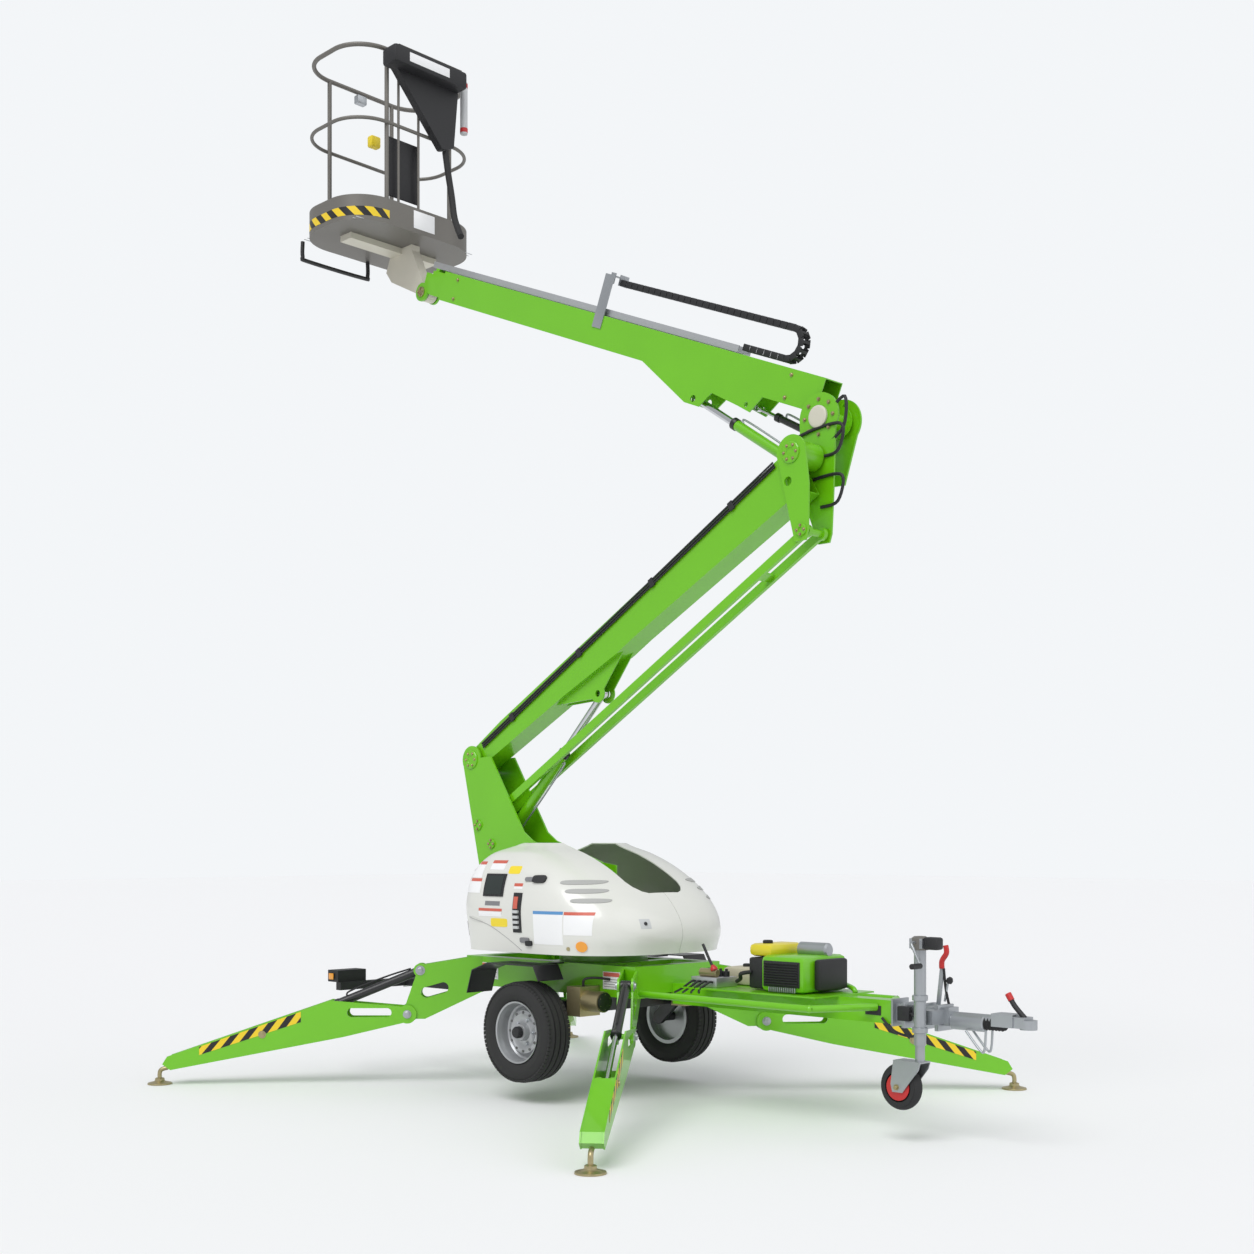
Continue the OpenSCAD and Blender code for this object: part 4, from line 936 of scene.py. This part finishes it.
plain = 0.0012  # how far an ordinary label stands off the dome
for name, x0, x1, z0, z1, material, lift, round_to in (
        ("base_control_screen", -0.378, -0.200, 1.188, 1.320, black_plastic, 0.006, 0),
        ("base_control_glass", -0.362, -0.216, 1.200, 1.308, screen_glass, 0.0075, 0),
        ("control_legend", -0.355, -0.222, 1.134, 1.160, recess_grey, plain, 0),
        ("control_legend_red", -0.412, -0.200, 1.101, 1.117, label_red, plain, 0),
        ("lever_slot", -0.104, -0.032, 0.982, 1.213, black_plastic, 0.004, 0),
        ("lever_slot_legend", -0.098, -0.062, 1.120, 1.190, label_red, 0.006, 0),
        ("catch_upper", -0.030, 0.070, 1.280, 1.302, recess_grey, 0.010, 6),
        ("catch_upper_handle", 0.030, 0.115, 1.272, 1.310, black_plastic, 0.016, 5),
        ("catch_lower", -0.046, 0.030, 0.925, 0.955, recess_grey, 0.008, 6),
        ("catch_lower_handle", 0.005, 0.055, 0.908, 0.938, black_plastic, 0.014, 5),
        # painted shade: a dark grey patch where the grab slot is
        ("grab_slot", -0.604, -0.570, 0.944, 1.032, shadow_grey, 0.002, 0),
        ("yellow_label_1", -0.197, -0.095, 1.322, 1.368, label_yellow, plain, 8),
        ("yellow_label_2", -0.302, -0.155, 1.010, 1.060, label_yellow, plain, 8)):
    patch(name, x0, x1, z0, z1, -1, material, cr, lift=lift, round_to=round_to)
for k in range(4):
    z = 1.005 + k * 0.030
    patch(f"lever_{k + 1}", -0.094, -0.048, z, z + 0.016, -1, label_grey, cr, lift=0.016, rows=4)
for name, x0, x1, z0, z1, head in (
        ("warning_label_1", -0.618, -0.428, 1.296, 1.392, label_red),
        ("warning_label_2", -0.632, -0.418, 1.206, 1.292, label_red),
        ("warning_label_3", -0.371, -0.246, 1.345, 1.400, label_red),
        ("warning_label_4", -0.114, -0.042, 1.236, 1.268, label_red),
        ("notice_label_blue", 0.070, 0.284, 0.921, 1.112, label_blue),
        ("notice_label_red", 0.290, 0.452, 0.979, 1.110, label_red),
        ("warning_label_5", -0.412, -0.205, 1.070, 1.098, label_white)):
    banded(name, x0, x1, z0, z1, -1, head, cr)
for side, body in ((-1, cr), (1, cl)):
    patch(f"side_reflector_{body}", 0.362, 0.424, 0.885, 0.945, side, amber, body, lift=0.006, round_to=2)
    patch(f"rim_screw_{body}", 0.303, 0.325, 0.890, 0.912, side, zinc, body, lift=0.004, round_to=2, rows=4)
    seam(f"panel_seam_{body}", [(-0.648, 1.068), (-0.52, 1.061), (-0.33, 1.020), (-0.17, 0.950),
                                (-0.04, 0.878)],
         side, 0.0022, seam_and_louvre_shade_grey, body)
    # the louvres are grey patches of painted shade where the vent slots are
    for k, (x, z) in enumerate(((0.290, 1.275), (0.342, 1.226), (0.392, 1.172))):
        patch(f"louvre_{k + 1}_{body}", x - 0.085, x + 0.085, z - 0.011, z + 0.013, side, seam_and_louvre_shade_grey, body,
              lift=0.004, round_to=3)
banded("warning_label_left_1", -0.60, -0.42, 1.21, 1.30, 1, label_red, cl, 0.02)
banded("notice_label_left", -0.20, 0.05, 1.02, 1.20, 1, label_blue, cl, 0.02)
patch("catch_left", -0.03, 0.07, 1.28, 1.302, 1, black_plastic, cl, lift=0.012, round_to=5)
patch("front_recess", -0.310, -0.240, 1.015, 1.070, 0, label_grey, cr, lift=0.001, front=True)
patch("front_key_switch", -0.285, -0.265, 1.033, 1.053, 0, black_plastic, cr, lift=0.006, round_to=2,
      front=True, rows=4)
# %% [markdown]
# ## Booms
# Every boom pin has a cap with a ring of bolts on both sides. The cylinders get gland rings, and
# rigid pipes run beside them. The energy chain is a row of links: its two straight runs are fixed
# and ride on no body, and its bend slides.

# %% Pin caps
def pin_cap(name, place, side, radius, body, bolts=6, material=green_paint):
    turned(name, [(radius, 0), (radius, 0.006), (radius * 0.92, 0.010), (radius * 0.45, 0.010),
                  (radius * 0.4, 0.006),
                  (0, 0.006)], place, (0, side, 0), material, body)
    bolt_ring(name + "_bolts", place + Vector((0, side * 0.009, 0)), (0, side, 0), radius * 0.7, bolts,
              0.0065, zinc, body)


def beside(place, y):
    """A joint's place, moved along Y to a face."""
    return Vector((place.x, y, place.z))


post_low, post_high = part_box("post")
knuckle_low, knuckle_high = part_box("knuckle")
for label, side, y in (("right", -1, post_low.y), ("left", 1, post_high.y)):
    pin_cap(f"foot_pin_{label}", beside(boom_foot, y), side, 0.06, "turntable")
    pin_cap(f"tie_pin_{label}", beside(pivot("tie_bars_pivot"), y), side, 0.036, "turntable", 4)
    pin_cap(f"lift_pin_{label}", beside(pivot("lower_barrel_pivot"), y), side, 0.032, "turntable", 4)
middle = 0.0065  # the inner faces of the knuckle's two halves
tie_head = boom_head + pivot("tie_bars_pivot") - boom_foot
for label, side, y in (("right", -1, knuckle_low.y), ("middle", 1, middle)):
    pin_cap(f"head_pin_{label}", beside(boom_head, y), side, 0.058, "knuckle")
    pin_cap(f"head_tie_pin_{label}", beside(tie_head, y), side, 0.034, "knuckle", 4)
for label, side, y in (("middle", -1, -middle), ("left", 1, knuckle_high.y)):
    elbow = beside(upper_foot, y)
    turned(f"elbow_tube_{label}", [(0.045, 0), (0.060, 0), (0.060, 0.012), (0.054, 0.016), (0.045, 0.016)],
           elbow, (0, side, 0), cream_paint, "knuckle", 40)
    bolt_ring(f"elbow_bolts_{label}", elbow, (0, side, 0), 0.095, 8, 0.008, zinc, "knuckle")
for name, radius in (("upper", 0.032), ("level", 0.030)):
    pin_cap("upper_lift_pin" if name == "upper" else "level_pin",
            beside(pivot(f"{name}_barrel_pivot"), knuckle_high.y), 1, radius, "knuckle", 4)


# %% Cylinders and pipes
def cylinder_trim(label, radius, barrel_length, rod_radius, pipe_side):
    """A gland ring and two rigid pipes on a boom cylinder."""
    base = pivot(f"{label}_barrel_pivot")
    along = Vector(joints[f"{label}_rod_slide"]["axis"]).normalized()
    body = f"{label}_barrel"
    turned(f"{label}_gland", [(rod_radius + 0.001, 0), (radius + 0.004, 0), (radius + 0.005, 0.004),
                              (radius + 0.005, 0.030),
           (radius - 0.002, 0.036), (rod_radius + 0.001, 0.036)], base + along * (barrel_length - 0.034),
           along, black_paint,
           body, 40, closed=True)
    off = along.cross(Vector((0, 1, 0))).normalized() * pipe_side
    for k, reach in enumerate((0.12, barrel_length - 0.07)):
        route = [(reach, radius - 0.002), (reach, radius + 0.018), (reach * 0.6 + 0.04, radius + 0.020),
                 (0.07, radius + 0.012)]
        tube(f"{label}_pipe_{k + 1}", [base + along * s + off * n for s, n in route], 0.006, galvanised, body,
             10, 5)


cylinder_trim("lower", 0.033, 0.80, 0.0225, -1)
cylinder_trim("upper", 0.030, 0.70, 0.0205, -1)
cylinder_trim("level", 0.020, 0.33, 0.011, -1)

lower_out, upper_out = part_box("lower_boom")[0].y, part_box("upper_boom")[0].y
for k in range(3):
    n = 0.045 - 0.014 * k
    tube(f"lower_pipe_{k + 1}", [on_lower(s, lower_out - 0.006, n) for s in (0.12, 0.4, 1.2, 2.0, 2.9)],
         0.0055,
         black_plastic, "lower_boom", 8, 4)
for s in (0.45, 1.15, 1.85, 2.55):
    at = on_lower(s, lower_out - 0.007, 0.031)
    block(f"pipe_clamp_{round(s * 100)}", at - Vector((0.018, 0.006, 0.026)),
          at + Vector((0.018, 0.006, 0.026)),
          black_plastic, "lower_boom", 0.003, lower_turn, at)
for label, n in (("top", 0.120), ("under", -0.15)):
    tube(f"elbow_pipe_{label}", [boom_head + Vector(p) for p in (
        (-0.16, 0.085, n), (0.04, 0.088, n + 0.04), (0.19, 0.09, n + 0.03), (0.16, 0.092, n - 0.10),
        (0.05, 0.088, n - 0.12))], 0.009, black_plastic, "knuckle")
tube("elbow_loop", [upper_foot + Vector(p) for p in (
    (0.06, -0.095, 0.02), (0.17, -0.10, 0.08), (0.16, -0.10, -0.08), (0.03, -0.095, -0.16))],
     0.009, black_plastic, "knuckle")

# %% Wear pad bolts
for s in (0.30, 3.40):
    for n in (0.045, 0.17):
        at = on_upper(s, upper_out - 0.0005, n)
        bolt_ring(f"wear_bolt_{round(s * 100)}_{round(n * 1000)}", at, (0, -1, 0), 0.0, 1, 0.008, zinc,
                  "upper_boom")
print("boom details placed")

# %% Energy chain
chain_low, chain_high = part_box("chain_bend")
chain_y = (chain_low.y + chain_high.y) / 2
bend_s, end_s, tray_s, boom_top, chain_radius = 0.43, 1.89, 0.76, 0.203, 0.085
low_n, up_n = boom_top + 0.042, boom_top + 0.042 + 2 * chain_radius


def chain_link(pitch):
    """One link: two side plates and a cross bar, drawn along +X."""
    bm = bmesh.new()
    for y in (-0.033, 0.027):
        add_block(bm, (-pitch * 0.56, y, -0.019), (pitch * 0.36, y + 0.006, 0.019), 0.006)
    for z in (-0.019, 0.014):
        add_block(bm, (-0.010, -0.030, z), (0.010, 0.030, z + 0.005), 0.001)
    return bm


def chain_run(name, first, last, n, node):
    """A straight run of links from first to last along the upper boom, fixed on no body."""
    count = round((last - first) / 0.052)
    pitch = (last - first) / count
    links = repeated(name, chain_link(pitch), count, black_plastic, None,
                     Matrix.Translation(on_upper(first + pitch / 2, chain_y, n)) @ upper_turn.to_4x4(),
                     step=(pitch, 0, 0))
    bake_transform(links)
    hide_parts(node)


chain_run("chain_links_upper", bend_s, end_s, up_n, "chain_upper")
chain_run("chain_links_lower", bend_s, tray_s, low_n, "chain_lower")
bend_links = bmesh.new()
for y in (-0.033, 0.027):
    add_block(bend_links, (-0.019, y, -0.026), (0.019, y + 0.006, 0.020), 0.005)
add_block(bend_links, (-0.019, -0.030, -0.008), (-0.014, 0.030, 0.008), 0.001)
add_block(bend_links, (0.014, -0.030, -0.008), (0.019, 0.030, 0.008), 0.001)
half_turn = bmesh.new()
for k in range(6):
    angle = math.radians(-75 + 30 * k)
    copy = bend_links.copy()
    bmesh.ops.transform(copy, matrix=Matrix.Rotation(angle, 4,
                                                     "Y") @ Matrix.Translation((-chain_radius, 0, 0)),
                        verts=copy.verts)
    half_turn.from_mesh(mesh_from("bend_link", copy))
bend_links.free()
bmesh.ops.transform(half_turn, matrix=Matrix.Translation(on_upper(bend_s, chain_y,
                                                            low_n + chain_radius)) @ upper_turn.to_4x4(),
                    verts=half_turn.verts)
bend = piece("chain_links_bend", half_turn, black_plastic, "chain_bend")
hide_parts("chain_bend")
print("energy chain made")

# %% [markdown]
# ## Work cage
# The console is a sloping box with a keypad and a lower cover. The toe board has warning stripes.
# The cage also has a document tube, a step bar and a gate with a latch.

# %% Cage
floor_low, floor_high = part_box("cage_floor")
rail_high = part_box("cage_rails")[1]
console_low, console_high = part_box("control_console")
front, z0 = floor_high.x, floor_low.z
bm = bmesh.new()
add_block(bm, (console_low.x, console_low.y, console_high.z - 0.118),
          (console_high.x, console_high.y, console_high.z), 0.02)
outline = [(-0.27, 1.045), (0.27, 1.045), (0.232, 0.644), (0.218, 0.632), (0.142, 0.606), (0.128, 0.608)]
rings = [[bm.verts.new((x, y, z0 + z)) for y, z in outline] for x in (console_low.x + 0.001,
                                                            console_low.x + 0.06)]
for k in range(len(outline)):
    bm.faces.new((rings[0][k], rings[0][k - 1], rings[1][k - 1], rings[1][k]))
for ring in rings:
    bm.faces.new(ring)
console = piece("console_shell", bm, black_plastic, "cage")
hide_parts("control_console")
top_z = console_high.z
block("console_panel", (console_low.x + 0.012, -0.30, top_z - 0.001),
      (console_high.x - 0.012, 0.24, top_z + 0.004), grey_paint, "cage", 0.002)
for row in range(2):
    key = bmesh.new()
    add_turned(key, [(0.011, 0), (0.012, 0.004), (0.008, 0.012), (0, 0.013)], (0, 0, 0), (0, 0, 1), 16)
    repeated(f"console_keys_{row + 1}", key, 7, label_yellow if row else red_plastic, "cage",
             Matrix.Translation((console_low.x + 0.045 + 0.055 * row, -0.24, top_z + 0.003)),
             step=(0, 0.07, 0))
turned("console_stop", [(0.014, 0), (0.014, 0.010), (0.024, 0.012), (0.024, 0.022), (0.018, 0.028),
                        (0, 0.029)],
       (console_low.x + 0.075, 0.205, top_z + 0.003), (0, 0, 1), red_plastic, "cage")
block("console_label", (console_high.x - 0.001, -0.22, top_z - 0.09),
      (console_high.x + 0.001, 0.12, top_z - 0.03), label_white, "cage", 0.0008)
turned("document_tube", [(0.024, 0), (0.026, 0.003), (0.026, 0.357), (0.024, 0.36)],
       (console_low.x + 0.03, 0.345, z0 + 0.78), (0, 0, 1), label_grey, "cage")
for k, z in enumerate((0.79, 1.10)):
    turned(f"document_band_{k + 1}", [(0.0262, 0), (0.0275, 0.001), (0.0275, 0.029), (0.0262, 0.03)],
           (console_low.x + 0.03, 0.345, z0 + z), (0, 0, 1), red_plastic, "cage")
block("toe_plate", (front, -0.065, z0 + 0.03), (front + 0.002, 0.115, z0 + 0.15), label_white, "cage", 0.0008)
tube("step_bar", [(floor_low.x + 0.04, y, z0 + z) for y, z in (
    (-0.50, -0.005), (-0.50, -0.11), (-0.46, -0.13), (0.01, -0.13), (0.05, -0.11), (0.05, -0.005))],
     0.014, black_paint, "cage", rounds=5)
for y in (-0.18, -0.01):
    tube(f"console_stay_{'right' if y < -0.1 else 'left'}",
         [(rail_high.x - 0.016, y, z0 + z) for z in (0.16, 0.7, 1.18)], 0.009, grey_paint, "cage", 10, 3)
block("inside_panel", (front - 0.07, -0.24, z0 + 0.22), (front - 0.055, 0.03, z0 + 0.62), black_plastic,
      "cage", 0.004)
block("rescue_light", (floor_low.x + 0.10, 0.0, z0 + 0.78), (floor_low.x + 0.16, 0.08, z0 + 0.86),
      label_yellow, "cage", 0.012)
gate_x = floor_low.x + 0.013
block("gate_latch", (gate_x, -0.05, z0 + 1.10), (gate_x + 0.05, 0.03, z0 + 1.16), galvanised, "cage", 0.008)
for k in range(2):
    tube(f"gate_hinge_{k + 1}", [(gate_x + 0.016, 0.27, z0 + 0.35 + 0.5 * k),
                                 (gate_x + 0.016, 0.27, z0 + 0.45 + 0.5 * k)], 0.021, galvanised, "cage")
mat = bmesh.new()
add_block(mat, (-0.004, -0.50, 0), (0.004, 0.50, 0.003), 0.001)
repeated("floor_ribs", mat, 17, aluminium, "cage", Matrix.Translation((floor_low.x + 0.06, 0, z0 + 0.005)),
         step=(0.0375, 0, 0))


def toe_band(name, points):
    """A striped band along the toe board, its pattern running with the length."""
    bm = bmesh.new()
    uv = bm.loops.layers.uv.new("stripes")
    run = 0.0
    lines = []
    for i, p in enumerate(points):
        run += (Vector(p) - Vector(points[i - 1])).length if i else 0
        lines.append((bm.verts.new((p[0], p[1], z0 + 0.03)), bm.verts.new((p[0], p[1], z0 + 0.09)), run))
    for a, b in zip(lines, lines[1:]):
        f = bm.faces.new((a[0], b[0], b[1], a[1]))
        for loop, (u, v) in zip(f.loops, ((a[2], 0), (b[2], 0), (b[2], 0.06), (a[2], 0.06))):
            loop[uv].uv = (u, v)
    piece(name, bm, hazard, "cage")


corner = 0.28
cx, cy = floor_low.x + corner, floor_low.y + corner
out = corner + 0.0015


def toe_arc(x, first):
    """A quarter turn round a corner of the toe board, from an angle in degrees."""
    angles = [math.radians(a) for a in range(first, first + 91, 10)]
    return [(x + out * math.cos(a), cy + out * math.sin(a), 0) for a in angles]


toe_band("toe_stripes_right", [(floor_low.x - 0.0015, cy + 0.1, 0)] + toe_arc(cx, 180)
         + toe_arc(floor_high.x - corner, 270))
level = pivot("cage_level")
for label, side in (("right", -1), ("left", 1)):
    pin_cap(f"cage_pin_{label}", Vector((level.x, level.y + side * 0.06, level.z)), side, 0.034, "inner_boom",
            4, zinc)
print("cage dressed")
# %% [markdown]
# ## Studio
# A pale floor, a wide soft key from the left of the camera and a weak fill from the right. The
# camera sees a plain background of the floor's own tone. It stands low and looks level: a lens
# shift keeps the verticals upright.

# %% Floor, lights and camera
floor_tone, floor_size = 0.86, 60.0
floor_paint, _, shader = new_material("studio_floor", 0.9)
shader.inputs["Base Color"].default_value = (floor_tone, floor_tone, floor_tone * 1.01, 1)
floor_mesh = bpy.data.meshes.new("studio_floor")
corners = [(x * floor_size, y * floor_size, 0) for x, y in ((-1, -1), (1, -1), (1, 1), (-1, 1))]
floor_mesh.from_pydata(corners, [], [(0, 1, 2, 3)])
floor_mesh.materials.append(floor_paint)
floor = in_scene("studio_floor", floor_mesh)
floor.location.z = -0.001

world = bpy.data.worlds.new("studio")
bpy.context.scene.world = world
world.use_nodes = True
haze, dim = (0.90, 0.92, 0.94, 1), 0.62  # the background's colour, and how much of it lights the scene
tree = world.node_tree
glow = tree.nodes["Background"]
glow.inputs["Color"].default_value = haze
glow.inputs["Strength"].default_value = dim
seen = tree.nodes.new("ShaderNodeBackground")
seen.inputs["Color"].default_value = haze
ray, pick = tree.nodes.new("ShaderNodeLightPath"), tree.nodes.new("ShaderNodeMixShader")
wire(tree, (ray, "Is Camera Ray", pick, 0), (glow, 0, pick, 1), (seen, 0, pick, 2),
     (pick, 0, tree.nodes["World Output"], "Surface"))


def soft_sun(name, place, strength, spread):
    """A wide, soft light that reaches the whole floor evenly."""
    light = bpy.data.lights.new(name, "SUN")
    light.energy = strength
    light.angle = math.radians(spread)
    lamp = in_scene(name, light)
    lamp.location = place
    lamp.rotation_euler = (-Vector(place)).to_track_quat("-Z", "Y").to_euler()


soft_sun("key", (3, -9, 11), 1.75, 40)
soft_sun("fill", (9, 3, 6), 0.5, 60)

camera_data = bpy.data.cameras.new("camera")
camera = in_scene("camera", camera_data)
camera.location = (7.073, -6.973, 1.491)
camera.rotation_euler = (math.radians(90), 0, math.radians(44.59))
camera_data.lens = 46.9
camera_data.sensor_width = 36
camera_data.shift_y = 0.174
camera_data.clip_end = 200
bpy.context.scene.camera = camera
bpy.context.scene.view_settings.view_transform = "Standard"
